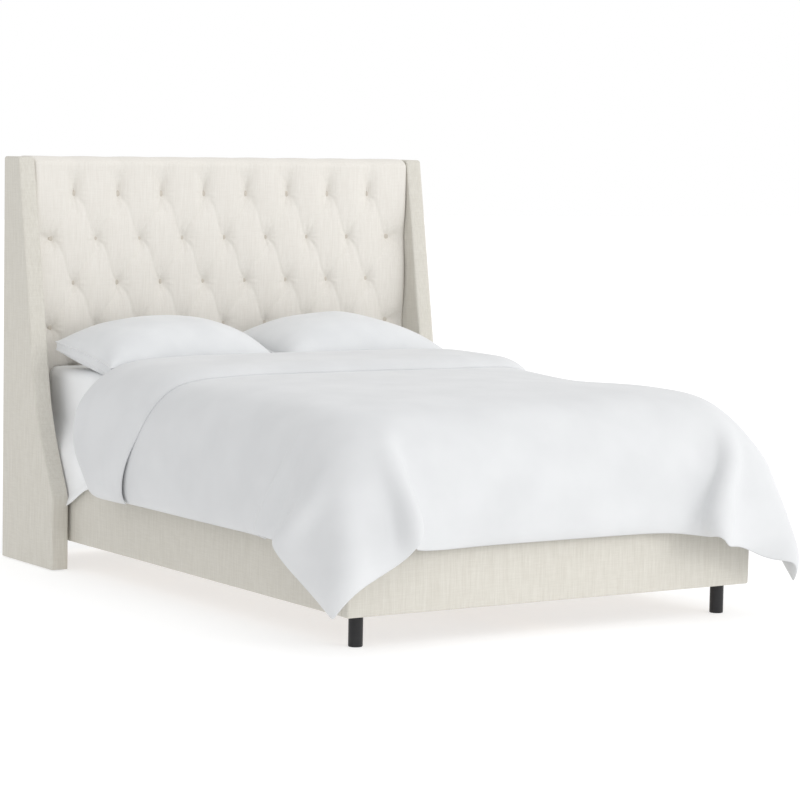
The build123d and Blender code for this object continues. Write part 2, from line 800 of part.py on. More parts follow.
def build():
    os.makedirs("parts", exist_ok=True)
    cover, core = left_wing()
    for side, piece in zip(("left", "right"), on_both_sides(cover)):
        save(piece, f"wing_cover_{side}")
    for side, piece in zip(("left", "right"), on_both_sides(core)):
        save(piece, f"wing_core_{side}")
    bolts = [wing_bolt(y, z) for y, z in wing_bolt_places()]
    save(group(bolts + [mirror(bolt, about=Plane.YZ) for bolt in bolts]), "wing_bolts")
    save(group(wing_floor_pads()), "wing_floor_pads")

    for side, piece in zip(("left", "right"), on_both_sides(left_stile())):
        save(piece, f"headboard_stile_{side}")
    for name, bottom in zip(("bottom", "middle", "top"), cross_rail_bottoms()):
        save(cross_rail(bottom), f"headboard_{name}_rail")
    save(headboard_panel(), "headboard_panel")
    save(headboard_back_cover(), "headboard_back_cover")
    save(tufted_pad(), "tufted_pad")
    save(group([tuft_button(x, z) for x, z in button_places()]), "tuft_buttons")
    save(kick_panel(), "kick_panel")

    for side, piece in zip(("left", "right"), on_both_sides(left_rail_board())):
        save(piece, f"rail_board_{side}")
    for side, piece in zip(("left", "right"), on_both_sides(left_rail_cover())):
        save(piece, f"rail_cover_{side}")
    save(foot_rail_board(), "foot_rail_board")
    save(foot_rail_cover(), "foot_rail_cover")
    for side, piece in zip(("left", "right"), on_both_sides(head_angle())):
        save(piece, f"head_angle_{side}")
    for side, piece in zip(("left", "right"), on_both_sides(foot_angle())):
        save(piece, f"foot_angle_{side}")
    bolts = side_bolts() + [stile_bolt(), foot_bolt()]
    save(group(bolts + [mirror(bolt, about=Plane.YZ) for bolt in bolts]), "angle_bolts")

    for side, piece in zip(("left", "right"), on_both_sides(left_cleat())):
        save(piece, f"slat_cleat_{side}")
    save(group(slats()), "slats")
    save(centre_beam(), "centre_beam")
    save(group(beam_rests()), "beam_rests")
    save(group(centre_legs()), "centre_legs")
    save(group(centre_leg_pads()), "centre_leg_pads")

    for side, piece in zip(("left", "right"), on_both_sides(left_corner_block())):
        save(piece, f"corner_block_{side}")
    for side, piece in zip(("left", "right"), on_both_sides(left_leg())):
        save(piece, f"front_leg_{side}")
    bolt = left_leg_bolt()
    save(group([bolt, mirror(bolt, about=Plane.YZ)]), "front_leg_bolts")

    save(box_spring(), "box_spring")
    save(mattress(), "mattress")
    save(flat_sheet(), "flat_sheet")
    save(duvet(), "duvet")
    save(pillow(pillow_left_x), "pillow_left")
    save(pillow(pillow_right_x), "pillow_right")


build()
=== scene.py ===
import bmesh
import bpy
import json
import math
import numpy as np
from mathutils import Matrix, Vector


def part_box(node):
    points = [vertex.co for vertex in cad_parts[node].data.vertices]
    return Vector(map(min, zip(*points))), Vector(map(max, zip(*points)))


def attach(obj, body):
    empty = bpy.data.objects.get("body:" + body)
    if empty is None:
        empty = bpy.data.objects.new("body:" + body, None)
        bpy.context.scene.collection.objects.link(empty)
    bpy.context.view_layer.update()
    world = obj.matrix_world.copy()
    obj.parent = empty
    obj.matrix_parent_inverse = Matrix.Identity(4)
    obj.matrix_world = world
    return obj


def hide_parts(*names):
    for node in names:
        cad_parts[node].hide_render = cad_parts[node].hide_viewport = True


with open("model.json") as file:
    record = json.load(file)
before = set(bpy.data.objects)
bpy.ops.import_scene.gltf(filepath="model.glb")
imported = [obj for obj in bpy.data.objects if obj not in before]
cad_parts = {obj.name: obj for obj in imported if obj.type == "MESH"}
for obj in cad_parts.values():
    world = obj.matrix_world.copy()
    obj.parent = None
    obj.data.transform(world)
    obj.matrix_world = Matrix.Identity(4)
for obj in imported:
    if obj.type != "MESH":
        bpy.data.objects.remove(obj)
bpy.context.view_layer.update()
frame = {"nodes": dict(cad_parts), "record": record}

# A wingback bed with a tufted headboard and white bedding. Lengths are in metres.
# X runs across the bed, -Y is its foot and Z is up. A depth runs from the headboard's back to the foot.

BACK_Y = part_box("headboard_back_cover")[1].y
QUARTER_TURN = math.pi / 2
FULL_TURN = 2 * math.pi
# The least length and area that another one is divided by
LEAST_LENGTH = 1e-9
LEAST_AREA = 1e-12


def y_at(depth):
    """The Y of a depth measured from the headboard's back."""
    return BACK_Y - depth


def smoothstep(low, high, value):
    """0 below low, 1 above high, with an eased change between them."""
    share = np.clip((value - low) / (high - low), 0, 1)
    return share * share * (3 - 2 * share)


# Shader groups
# A stretch draws a noise out along X, Y and Z. A share is a noise's part in a blend or in a relief.

NOISE_MIDDLE = 0.5
UPRIGHT_STRETCH = (1, 1, 0.035)
UPRIGHT_SHARE = 0.6
LEVEL_STRETCH = (0.05, 0.05, 1)
SLUB_STRETCH = (1, 1, 0.08)
SLUB_SCALE = 130.0
SLUB_RELIEF_SHARE = 0.5
EVEN_STRETCH = (1, 1, 1)
CREASE_SHARE = 0.97
RING_STRETCH = (0.12, 0.12, 1)
RING_SHARE = 0.5
PORE_STRETCH = (0.03, 0.03, 1)
PORE_SCALE = 420.0


def new_group(name, sizes, mask):
    """An empty shader group fed by a place and named sizes, for a mask and a height.

    Returns its tree, its input node and its output node.
    """
    tree = bpy.data.node_groups.new(name, "ShaderNodeTree")
    tree.interface.new_socket(name="Vector", in_out="INPUT", socket_type="NodeSocketVector")
    for label, size in sizes:
        socket = tree.interface.new_socket(name=label, in_out="INPUT", socket_type="NodeSocketFloat")
        socket.default_value = size
    for label in (mask, "Height"):
        tree.interface.new_socket(name=label, in_out="OUTPUT", socket_type="NodeSocketFloat")
    return tree, tree.nodes.new("NodeGroupInput"), tree.nodes.new("NodeGroupOutput")


def feed(tree, socket, value):
    """Sets a socket to a number, or links another socket to it."""
    if isinstance(value, (int, float)):
        socket.default_value = value
    else:
        tree.links.new(value, socket)


def math_node(tree, operation, first, second):
    """A Math node fed by sockets or numbers. Returns its output."""
    node = tree.nodes.new("ShaderNodeMath")
    node.operation = operation
    feed(tree, node.inputs[0], first)
    feed(tree, node.inputs[1], second)
    return node.outputs[0]


def blended(tree, first, second, share):
    """The first value times the share, and the second one times the rest."""
    return math_node(tree, "ADD", math_node(tree, "MULTIPLY", first, share),
                     math_node(tree, "MULTIPLY", second, 1 - share))


def stretched_noise(tree, vector, stretch, size, detail=2.0, roughness=0.5):
    """Noise whose grains are drawn out along some of the axes. Returns its value."""
    mapping = tree.nodes.new("ShaderNodeMapping")
    mapping.inputs["Scale"].default_value = stretch
    tree.links.new(vector, mapping.inputs["Vector"])
    noise = tree.nodes.new("ShaderNodeTexNoise")
    noise.inputs["Detail"].default_value = detail
    noise.inputs["Roughness"].default_value = roughness
    feed(tree, noise.inputs["Scale"], size)
    tree.links.new(mapping.outputs[0], noise.inputs["Vector"])
    return noise.outputs["Fac"]


def make_weave_group():
    """Linen: upright and level threads with slubs. Gives a thread shade and a height."""
    sizes = (("Thread Scale", 420.0), ("Slub", 0.5))
    tree, source, result = new_group("linen_weave", sizes, "Shade")
    place, scale = source.outputs["Vector"], source.outputs["Thread Scale"]
    upright = stretched_noise(tree, place, UPRIGHT_STRETCH, scale)
    level = stretched_noise(tree, place, LEVEL_STRETCH, scale)
    slub = stretched_noise(tree, place, SLUB_STRETCH, SLUB_SCALE, detail=3.0, roughness=0.6)
    threads = blended(tree, upright, level, UPRIGHT_SHARE)
    uneven = math_node(tree, "SUBTRACT", slub, NOISE_MIDDLE)
    slubs = math_node(tree, "MULTIPLY", uneven, source.outputs["Slub"])
    raised = math_node(tree, "MULTIPLY", slubs, SLUB_RELIEF_SHARE)
    tree.links.new(math_node(tree, "ADD", threads, slubs), result.inputs["Shade"])
    tree.links.new(math_node(tree, "ADD", threads, raised), result.inputs["Height"])
    return tree


def make_wrinkle_group():
    """Bedding cotton: slow creases and a very fine weave. Gives a shade and a height."""
    sizes = (("Crease Scale", 7.0), ("Weave Scale", 900.0))
    tree, source, result = new_group("cotton_wrinkle", sizes, "Shade")
    place, crease = source.outputs["Vector"], source.outputs["Crease Scale"]
    slow = stretched_noise(tree, place, EVEN_STRETCH, crease, detail=3.0, roughness=0.45)
    fine = stretched_noise(tree, place, EVEN_STRETCH, source.outputs["Weave Scale"], detail=1.0)
    tree.links.new(slow, result.inputs["Shade"])
    tree.links.new(blended(tree, slow, fine, CREASE_SHARE), result.inputs["Height"])
    return tree


def make_grain_group():
    """Wood: long wavy grain with pores. Gives a ring mask and a height."""
    sizes = (("Ring Scale", 26.0),)
    tree, source, result = new_group("wood_grain", sizes, "Rings")
    place, scale = source.outputs["Vector"], source.outputs["Ring Scale"]
    rings = stretched_noise(tree, place, RING_STRETCH, scale, detail=4.0, roughness=0.6)
    pores = stretched_noise(tree, place, PORE_STRETCH, PORE_SCALE, detail=1.0)
    tree.links.new(rings, result.inputs["Rings"])
    tree.links.new(blended(tree, rings, pores, RING_SHARE), result.inputs["Height"])
    return tree


WEAVE = make_weave_group()
WRINKLE = make_wrinkle_group()
GRAIN = make_grain_group()


# Materials

# Where along the mask the darker and the lighter colour are reached
RAMP_ENDS = (0.32, 0.68)


def new_material(name, roughness, sheen=0.0, specular=0.5, metallic=0.0):
    """A material with constants on its own Principled sockets. Returns (material, tree, principled)."""
    material = bpy.data.materials.new(name)
    material.use_nodes = True
    tree = material.node_tree
    principled = tree.nodes["Principled BSDF"]
    principled.inputs["Roughness"].default_value = roughness
    principled.inputs["Sheen Weight"].default_value = sheen
    principled.inputs["Specular IOR Level"].default_value = specular
    principled.inputs["Metallic"].default_value = metallic
    return material, tree, principled


def patterned(name, group, colors, bump, roughness, sizes=(), distance=0.001, **finish):
    """A material whose colour runs between two colours by a group's mask, and whose bump is its height."""
    material, tree, principled = new_material(name, roughness, **finish)
    place = tree.nodes.new("ShaderNodeTexCoord")
    pattern = tree.nodes.new("ShaderNodeGroup")
    pattern.node_tree = group
    tree.links.new(place.outputs["Object"], pattern.inputs["Vector"])
    for label, size in sizes:
        pattern.inputs[label].default_value = size
    ramp = tree.nodes.new("ShaderNodeValToRGB")
    for element, position, color in zip(ramp.color_ramp.elements, RAMP_ENDS, colors):
        element.position = position
        element.color = (*color, 1)
    tree.links.new(pattern.outputs[0], ramp.inputs["Fac"])
    tree.links.new(ramp.outputs["Color"], principled.inputs["Base Color"])
    relief = tree.nodes.new("ShaderNodeBump")
    relief.inputs["Strength"].default_value = bump
    relief.inputs["Distance"].default_value = distance
    tree.links.new(pattern.outputs["Height"], relief.inputs["Height"])
    tree.links.new(relief.outputs["Normal"], principled.inputs["Normal"])
    return material


LINEN = patterned(
    "ivory_linen", WEAVE, ((0.590, 0.566, 0.508), (0.668, 0.648, 0.591)), bump=0.30, roughness=0.92,
    sheen=0.1, specular=0.2)
# The tufted face is the same ivory linen, coloured lighter: the extra brightness is painted light on the pad
PAINTED_LIGHT_TUFT_LINEN = patterned(
    "tufted_linen", WEAVE, ((0.712, 0.683, 0.633), (0.772, 0.747, 0.700)), bump=0.35, roughness=0.92,
    sheen=0.1, specular=0.2)
# The buttons are covered in the same linen; their darker, warmer colour is painted shade of the dimples they
# sit in
SHADED_BUTTON_LINEN = patterned(
    "button_linen", WEAVE, ((0.530, 0.488, 0.428), (0.620, 0.578, 0.515)), bump=0.5, roughness=0.92,
    specular=0.2)
DUST_CLOTH = patterned(
    "dust_cloth", WEAVE, ((0.030, 0.030, 0.032), (0.055, 0.055, 0.058)), bump=0.4, roughness=0.95,
    specular=0.2)
DUVET_COTTON = patterned(
    "duvet_cotton", WRINKLE, ((0.652, 0.661, 0.671), (0.688, 0.697, 0.707)), bump=0.12, roughness=0.75,
    distance=0.006, sheen=0.15, specular=0.25)
# The sheet is white cotton like the duvet, coloured much lighter: painted light that cancels the shade of the
# wings and the duvet on it
PAINTED_LIGHT_SHEET_COTTON = patterned(
    "sheet_cotton", WRINKLE, ((0.865, 0.875, 0.885), (0.895, 0.905, 0.915)), bump=0.20, roughness=0.75,
    sizes=(("Crease Scale", 12.0),), distance=0.004, sheen=0.15, specular=0.25)
PILLOW_COTTON = patterned(
    "pillow_cotton", WRINKLE, ((0.690, 0.702, 0.714), (0.730, 0.742, 0.752)), bump=0.15, roughness=0.72,
    sizes=(("Crease Scale", 10.0),), distance=0.005, sheen=0.15, specular=0.25)
TICKING = patterned(
    "mattress_ticking", WRINKLE, ((0.60, 0.59, 0.565), (0.68, 0.67, 0.65)), bump=0.4, roughness=0.85,
    sizes=(("Crease Scale", 30.0),), distance=0.004, specular=0.2)
PINE = patterned(
    "sawn_pine", GRAIN, ((0.46, 0.29, 0.145), (0.66, 0.48, 0.29)), bump=0.25, roughness=0.62)
PLYWOOD = patterned(
    "sanded_plywood", GRAIN, ((0.50, 0.33, 0.18), (0.62, 0.45, 0.28)), bump=0.15, roughness=0.6,
    sizes=(("Ring Scale", 14.0),))
BLACK_LACQUER = patterned(
    "black_lacquer", GRAIN, ((0.014, 0.014, 0.015), (0.022, 0.022, 0.024)), bump=0.05, roughness=0.38,
    specular=0.3)
ZINC = patterned(
    "zinc_steel", WRINKLE, ((0.50, 0.50, 0.48), (0.64, 0.64, 0.62)), bump=0.1, roughness=0.38,
    sizes=(("Crease Scale", 60.0),), metallic=1.0)
NYLON = patterned(
    "black_nylon", WRINKLE, ((0.035, 0.035, 0.035), (0.05, 0.05, 0.05)), bump=0.1, roughness=0.5,
    sizes=(("Crease Scale", 80.0),))

CAD_MATERIALS = {
    "pine": PINE, "plywood": PLYWOOD, "black_wood": BLACK_LACQUER, "zinc_steel": ZINC, "nylon": NYLON,
    "ivory_linen": LINEN, "tufted_linen": PAINTED_LIGHT_TUFT_LINEN, "button_linen": SHADED_BUTTON_LINEN, "back_cloth": DUST_CLOTH,
    "ticking": TICKING, "sheet_cotton": PAINTED_LIGHT_SHEET_COTTON, "duvet_cotton": DUVET_COTTON,
    "pillow_cotton": PILLOW_COTTON,
}


def dress_cad_nodes():
    """Every CAD node gets the procedural material of its record slot."""
    for entry in frame["record"]["subparts"]:
        node = frame["nodes"][entry["node"]]
        node.data.materials.clear()
        node.data.materials.append(CAD_MATERIALS[entry["material_slot"]])


# Camera, light and floor

CAMERA_PLACE = (-5.22178, y_at(9.22984), 1.50540)
CAMERA_YAW = math.radians(33.125)
CAMERA_PITCH = math.radians(5.340)
CAMERA_ROLL = math.radians(1.049)
CAMERA_LENS = 136.0
CAMERA_REACH = 60
SENSOR_WIDTH = 36.0
KEY_PLACE = (3.2, -6.4, 2.6)
KEY_TARGET = (0, 0, 0.5)
KEY_SIZE = 2.6
KEY_POWER = 88
# How the white surround's light brightens towards the right and the front
SURROUND_SLOPE = (0.26, -0.12, 0.0)
WHITE = (1, 1, 1, 1)
FLOOR_GREY = (0.50, 0.50, 0.50, 1)
FLOOR_GLOW = 0.60
FLOOR_HALF = 30


def make_camera():
    """The camera stands where the photograph's did, turned by its yaw, pitch and roll."""
    data = bpy.data.cameras.new("camera")
    data.lens = CAMERA_LENS
    data.sensor_width = SENSOR_WIDTH
    data.clip_end = CAMERA_REACH
    camera = bpy.data.objects.new("camera", data)
    ahead = Vector((math.sin(CAMERA_YAW) * math.cos(CAMERA_PITCH),
                    math.cos(CAMERA_YAW) * math.cos(CAMERA_PITCH), -math.sin(CAMERA_PITCH)))
    level = Vector((math.cos(CAMERA_YAW), -math.sin(CAMERA_YAW), 0))
    upright = level.cross(ahead)
    right = level * math.cos(CAMERA_ROLL) + upright * math.sin(CAMERA_ROLL)
    up = upright * math.cos(CAMERA_ROLL) - level * math.sin(CAMERA_ROLL)
    turn = Matrix((right, up, -ahead)).transposed().to_4x4()
    camera.matrix_world = Matrix.Translation(CAMERA_PLACE) @ turn
    bpy.context.scene.collection.objects.link(camera)
    bpy.context.scene.camera = camera


def make_surround():
    """A white surround that looks the same all over, and lights the bed a little more from one side."""
    world = bpy.data.worlds.new("studio")
    bpy.context.scene.world = world
    world.use_nodes = True
    tree = world.node_tree
    background = tree.nodes["Background"]
    background.inputs["Color"].default_value = WHITE
    direction = tree.nodes.new("ShaderNodeTexCoord")
    slope = tree.nodes.new("ShaderNodeVectorMath")
    slope.operation = "DOT_PRODUCT"
    slope.inputs[1].default_value = SURROUND_SLOPE
    tree.links.new(direction.outputs["Generated"], slope.inputs[0])
    rays = tree.nodes.new("ShaderNodeLightPath")
    lighting = math_node(tree, "SUBTRACT", 1.0, rays.outputs["Is Camera Ray"])
    change = math_node(tree, "MULTIPLY", slope.outputs["Value"], lighting)
    tree.links.new(math_node(tree, "ADD", change, 1.0), background.inputs["Strength"])


def make_key_light():
    """A square softbox to the right of the foot, aimed at the bed."""
    data = bpy.data.lights.new("key", "AREA")
    data.shape = "SQUARE"
    data.size = KEY_SIZE
    data.energy = KEY_POWER
    light = bpy.data.objects.new("key", data)
    light.location = KEY_PLACE
    light.rotation_euler = (Vector(KEY_TARGET) - Vector(KEY_PLACE)).to_track_quat("-Z", "Y").to_euler()
    bpy.context.scene.collection.objects.link(light)


def make_floor():
    """A pale floor that glows a little, so that it is as white as the surround."""
    material, _, principled = new_material("studio_floor", roughness=0.9, specular=0.1)
    principled.inputs["Base Color"].default_value = FLOOR_GREY
    principled.inputs["Emission Color"].default_value = WHITE
    principled.inputs["Emission Strength"].default_value = FLOOR_GLOW
    corners = [(-FLOOR_HALF, -FLOOR_HALF, 0), (FLOOR_HALF, -FLOOR_HALF, 0),
               (FLOOR_HALF, FLOOR_HALF, 0), (-FLOOR_HALF, FLOOR_HALF, 0)]
    floor = add_mesh("studio_floor", corners, [(0, 1, 2, 3)], material)


# Mesh helpers

# Digits that two places must share to be the same point, and the fewest parts along a padded box
PLACE_DIGITS = 7
FEWEST_PARTS = 2
# Three waves of stuffed cloth: how fast each one runs along X, Y and Z, and where it starts
CLOTH_WAVES = ((1.7, 0.6, 0.9, 0.4), (-0.8, 1.9, 1.3, 2.1), (2.3, -1.4, 2.2, 4.0))


def add_mesh(name, points, faces, material):
    """A new object with a smooth mesh of these points and faces."""
    mesh = bpy.data.meshes.new(name)
    mesh.from_pydata([tuple(point) for point in points], [], faces)
    return add_object(name, mesh, material)


def add_object(name, mesh, material):
    """A new object of a finished mesh, in one material, shaded smooth."""
    mesh.materials.append(material)
    mesh.polygons.foreach_set("use_smooth", [True] * len(mesh.polygons))
    mesh.update()
    thing = bpy.data.objects.new(name, mesh)
    bpy.context.scene.collection.objects.link(thing)
    return thing


def grid_faces(rows, columns, flip=False, wrap=False):
    """Quads of a rows by columns grid of points, closed round its columns if wrap is set."""
    faces = []
    last = columns if wrap else columns - 1
    for row in range(rows - 1):
        for column in range(last):
            nearby = (column + 1) % columns
            quad = (row * columns + column, row * columns + nearby,
                    (row + 1) * columns + nearby, (row + 1) * columns + column)
            faces.append(quad[::-1] if flip else quad)
    return faces


def layered_faces(rows, columns, layers):
    """Faces of a closed body made of grids laid on each other: its top, its underside and its border."""
    count = rows * columns
    last = (layers - 1) * count
    faces = grid_faces(rows, columns)
    faces += [tuple(last + index for index in face[::-1]) for face in grid_faces(rows, columns)]
    rim = border_indices(rows, columns)
    for start in range(0, last, count):
        for index, near in enumerate(rim):
            far = rim[(index + 1) % len(rim)]
            faces.append(tuple(start + point for point in (near, far, count + far, count + near)))
    return faces


def border_indices(rows, columns):
    """Indices of the points along the border of a grid, once round."""
    rim = [(0, column) for column in range(columns)]
    rim += [(row, columns - 1) for row in range(1, rows)]
    rim += [(rows - 1, column) for column in range(columns - 2, -1, -1)]
    rim += [(row, 0) for row in range(rows - 2, 0, -1)]
    return [row * columns + column for row, column in rim]


def outward(thing):
    """Turns every face of a closed mesh outwards, and drops points that no face uses."""
    mesh = bmesh.new()
    mesh.from_mesh(thing.data)
    loose = [point for point in mesh.verts if not point.link_faces]
    bmesh.ops.delete(mesh, geom=loose, context="VERTS")
    bmesh.ops.recalc_face_normals(mesh, faces=mesh.faces)
    mesh.to_mesh(thing.data)
    mesh.free()
    return thing


def loop_loft(name, loops, material):
    """A closed body through loops of points, each end closed by a fan."""
    count = len(loops[0])
    points = [point for loop in loops for point in loop]
    faces = grid_faces(len(loops), count, wrap=True)
    for start, loop in ((0, loops[0]), ((len(loops) - 1) * count, loops[-1])):
        middle = len(points)
        points.append(np.mean(np.array(loop), axis=0))
        faces += [(start + index, start + (index + 1) % count, middle) for index in range(count)]
    return outward(add_mesh(name, points, faces, material))


def bake(thing):
    """Replaces a piece's mesh by the result of its modifiers, and removes them."""
    bpy.context.view_layer.update()
    seen = thing.evaluated_get(bpy.context.evaluated_depsgraph_get())
    mesh = bpy.data.meshes.new_from_object(seen)
    old = thing.data
    thing.modifiers.clear()
    thing.data = mesh
    bpy.data.meshes.remove(old)


def subdivide(thing):
    """Adds one live level of subdivision, the same in the render."""
    modifier = thing.modifiers.new("smooth", "SUBSURF")
    modifier.levels = 1
    modifier.render_levels = 1


def coords(thing):
    """The places of a mesh's points, a row for each."""
    points = np.empty(len(thing.data.vertices) * 3)
    thing.data.vertices.foreach_get("co", points)
    return points.reshape(-1, 3)


def set_coords(thing, points):
    """Moves a mesh's points to these places."""
    thing.data.vertices.foreach_set("co", np.asarray(points).reshape(-1))
    thing.data.update()


def rounded_loop(half_x, half_y, radius, straight_x, straight_y, corner):
    """Points round a rectangle with rounded corners, in two dimensions, anticlockwise from the right side."""
    points = []
    sides = [((half_x, -1), (0, 1), straight_y), ((1, half_y), (-1, 0), straight_x),
             ((-half_x, 1), (0, -1), straight_y), ((-1, -half_y), (1, 0), straight_x)]
    for index, (place, step, count) in enumerate(sides):
        run_half = (half_y if index % 2 == 0 else half_x) - radius
        for share in np.linspace(-1, 1, count + 1):
            if index % 2 == 0:
                points.append((place[0], step[1] * run_half * share))
            else:
                points.append((step[0] * run_half * share, place[1]))
        centre = ((half_x - radius) * (1 if index in (0, 3) else -1),
                  (half_y - radius) * (1 if index in (0, 1) else -1))
        for turn in range(1, corner):
            angle = (index + turn / corner) * QUARTER_TURN
            points.append((centre[0] + radius * math.cos(angle), centre[1] + radius * math.sin(angle)))
    return points


def box_lines(low, high, radius, step, corner):
    """The places of a rounded box's grid lines along each axis, close together at its edges."""
    lines = []
    for start, end in zip(low, high):
        count = max(round((end - start - 2 * radius) / step), FEWEST_PARTS)
        edge = start + radius * (1 + np.tan(np.linspace(-QUARTER_TURN / 2, 0, corner)))[:-1]
        middle = np.linspace(start + radius, end - radius, count + 1)
        lines.append(np.concatenate([edge, middle, (start + end) - edge[::-1]]))
    return lines


def padded_box(name, low, high, radius, step, material, corner=6):
    """A stuffed box of quads, with all its edges and corners rounded."""
    lines = box_lines(low, high, radius, step, corner)
    mesh = bmesh.new()
    cache = {}

    def vertex(place):
        """The point at a place, made once and shared by the faces that meet there."""
        key = tuple(np.round(place, PLACE_DIGITS))
        if key not in cache:
            cache[key] = mesh.verts.new(place)
        return cache[key]

    for axis in range(3):
        first, second = (axis + 1) % 3, (axis + 2) % 3
        for level, flip in ((low[axis], True), (high[axis], False)):
            for i in range(len(lines[first]) - 1):
                for j in range(len(lines[second]) - 1):
                    quad = []
                    for a, b in ((i, j), (i + 1, j), (i + 1, j + 1), (i, j + 1)):
                        place = np.zeros(3)
                        place[axis], place[first], place[second] = level, lines[first][a], lines[second][b]
                        quad.append(vertex(place))
                    mesh.faces.new(quad[::-1] if flip else quad)
    core_low, core_high = np.array(low) + radius, np.array(high) - radius
    for point in mesh.verts:
        place = np.array(point.co)
        held = np.clip(place, core_low, core_high)
        away = place - held
        point.co = held + away / np.linalg.norm(away) * radius
    data = bpy.data.meshes.new(name)
    mesh.to_mesh(data)
    mesh.free()
    return add_object(name, data, material)


def soft_wave(points, height, scale):
    """A slow undulation for stuffed cloth, between minus height and height, from a few fixed waves."""
    x, y, z = (points * scale).T
    total = sum(np.sin(along_x * x + along_y * y + along_z * z + start)
                for along_x, along_y, along_z, start in CLOTH_WAVES)
    return total * height / len(CLOTH_WAVES)


# Tufted headboard

TUFT_ROWS = 5
TUFT_COLUMNS = 9
TUFT_SPACING = 0.1667
TUFT_PITCH = 0.1496
TUFT_FIRST_HEIGHT = 1.2297
TUFT_VALLEY_DEPTH = 0.085
TUFT_RELIEF = 0.0295
TUFT_CROWN_POWER = 0.55
PAD_STEP = 0.0043
PAD_TOP_RADIUS = 0.026
PAD_TOP_TURNS = 8
PAD_TOP_SHARE = 0.9
PAD_TOP_ROLL = 0.006
PAD_TOP_WAVE = 0.28
PAD_LIP_DEPTHS = (0.052, 0.002)
PAD_LIP_ROWS = 8
PAD_EDGE_ROUND = 0.016
PAD_EDGE_SHARE = 0.72
PAD_SIDE_PRESS = 0.0012
PAD_REAR_DEPTH = 0.043
PAD_UNEVENNESS = 0.05
# Two waves of the stuffing: how fast each one runs along X and Z, and where it starts
PAD_WAVES = ((17, 9, 0), (-13, 11, 1))
PLEAT_BEND = 0.045
PLEAT_LEAN = 0.86
PLEAT_FLOOR = 0.80
PLEAT_RISE = 0.70
EDGE_FLOOR = 0.80
EDGE_REACH = 0.10
DIMPLE_FOLD = 0.0010
DIMPLE_FOLD_REACH = 0.024
DIMPLE_FOLD_WIDTH = 0.0144
DIMPLE_FOLD_COUNT = 9
DIMPLE_FOLD_TURN = 40
BUTTON_DEPTH = 0.0885
BUTTON_RADIUS = 0.0115
BUTTON_HEIGHT = 0.0048
BUTTON_SIDES = 24
BUTTON_RINGS = 12


def button_places():
    """X and Z of each button: every second row has one more, out by half a space."""
    places = []
    for row in range(TUFT_ROWS):
        count = TUFT_COLUMNS if row % 2 else TUFT_COLUMNS - 1
        for column in range(count):
            places.append(((column - (count - 1) / 2) * TUFT_SPACING, TUFT_FIRST_HEIGHT - row * TUFT_PITCH))
    return places


def tuft_relief(x, z):
    """How far the stuffed cloth stands out, as a share of the full relief, at each X and Z."""
    outer = (TUFT_COLUMNS - 1) / 2 * TUFT_SPACING
    top, bottom = TUFT_FIRST_HEIGHT, TUFT_FIRST_HEIGHT - (TUFT_ROWS - 1) * TUFT_PITCH
    held_x, held_z = np.clip(x, -outer, outer), np.clip(z, bottom, top)
    beyond = np.hypot(x - held_x, z - held_z)
    p, q = held_x / TUFT_SPACING, (held_z - top) / TUFT_PITCH
    a, b = p - q / 2 - 0.5, p + q / 2 - 0.5
    a, b = a + PLEAT_BEND * np.sin(FULL_TURN * b), b - PLEAT_BEND * np.sin(FULL_TURN * a)
    a, b = a - np.floor(a), b - np.floor(b)
    across_a, across_b = np.sin(math.pi * a ** PLEAT_LEAN), np.sin(math.pi * b ** PLEAT_LEAN)
    crown = np.clip(across_a * across_b, 0, 1) ** TUFT_CROWN_POWER
    valley = PLEAT_FLOOR * np.maximum(across_a, across_b) ** PLEAT_RISE
    valley = np.maximum(valley, EDGE_FLOOR * smoothstep(0, EDGE_REACH, beyond))
    return valley + (1 - valley) * crown


def dimple_folds(x, z):
    """Small folds that run out of every button's dimple."""
    folds = np.zeros(x.shape)
    for button_x, button_z in button_places():
        reach = np.hypot(x - button_x, z - button_z)
        turn = np.arctan2(z - button_z, x - button_x)
        ripple = np.sin(DIMPLE_FOLD_COUNT * turn + DIMPLE_FOLD_TURN * button_x) * DIMPLE_FOLD
        folds += ripple * np.exp(-((reach - DIMPLE_FOLD_REACH) / DIMPLE_FOLD_WIDTH) ** 2)
    return folds


def pad_rows(bottom, top):
    """Depth, height and turn of each row of the pad: up its face, round its top edge and along the lip."""
    heights = np.linspace(bottom, top, round((top - bottom) / PAD_STEP))
    rows = [(TUFT_VALLEY_DEPTH, height, 0.0) for height in heights]
    for turn in np.linspace(0, QUARTER_TURN, PAD_TOP_TURNS + 1)[1:]:
        rows.append((TUFT_VALLEY_DEPTH - PAD_TOP_RADIUS * (1 - math.cos(turn)) * PAD_TOP_SHARE, top, turn))
    rows += [(depth, top, QUARTER_TURN) for depth in np.linspace(*PAD_LIP_DEPTHS, PAD_LIP_ROWS)]
    return rows


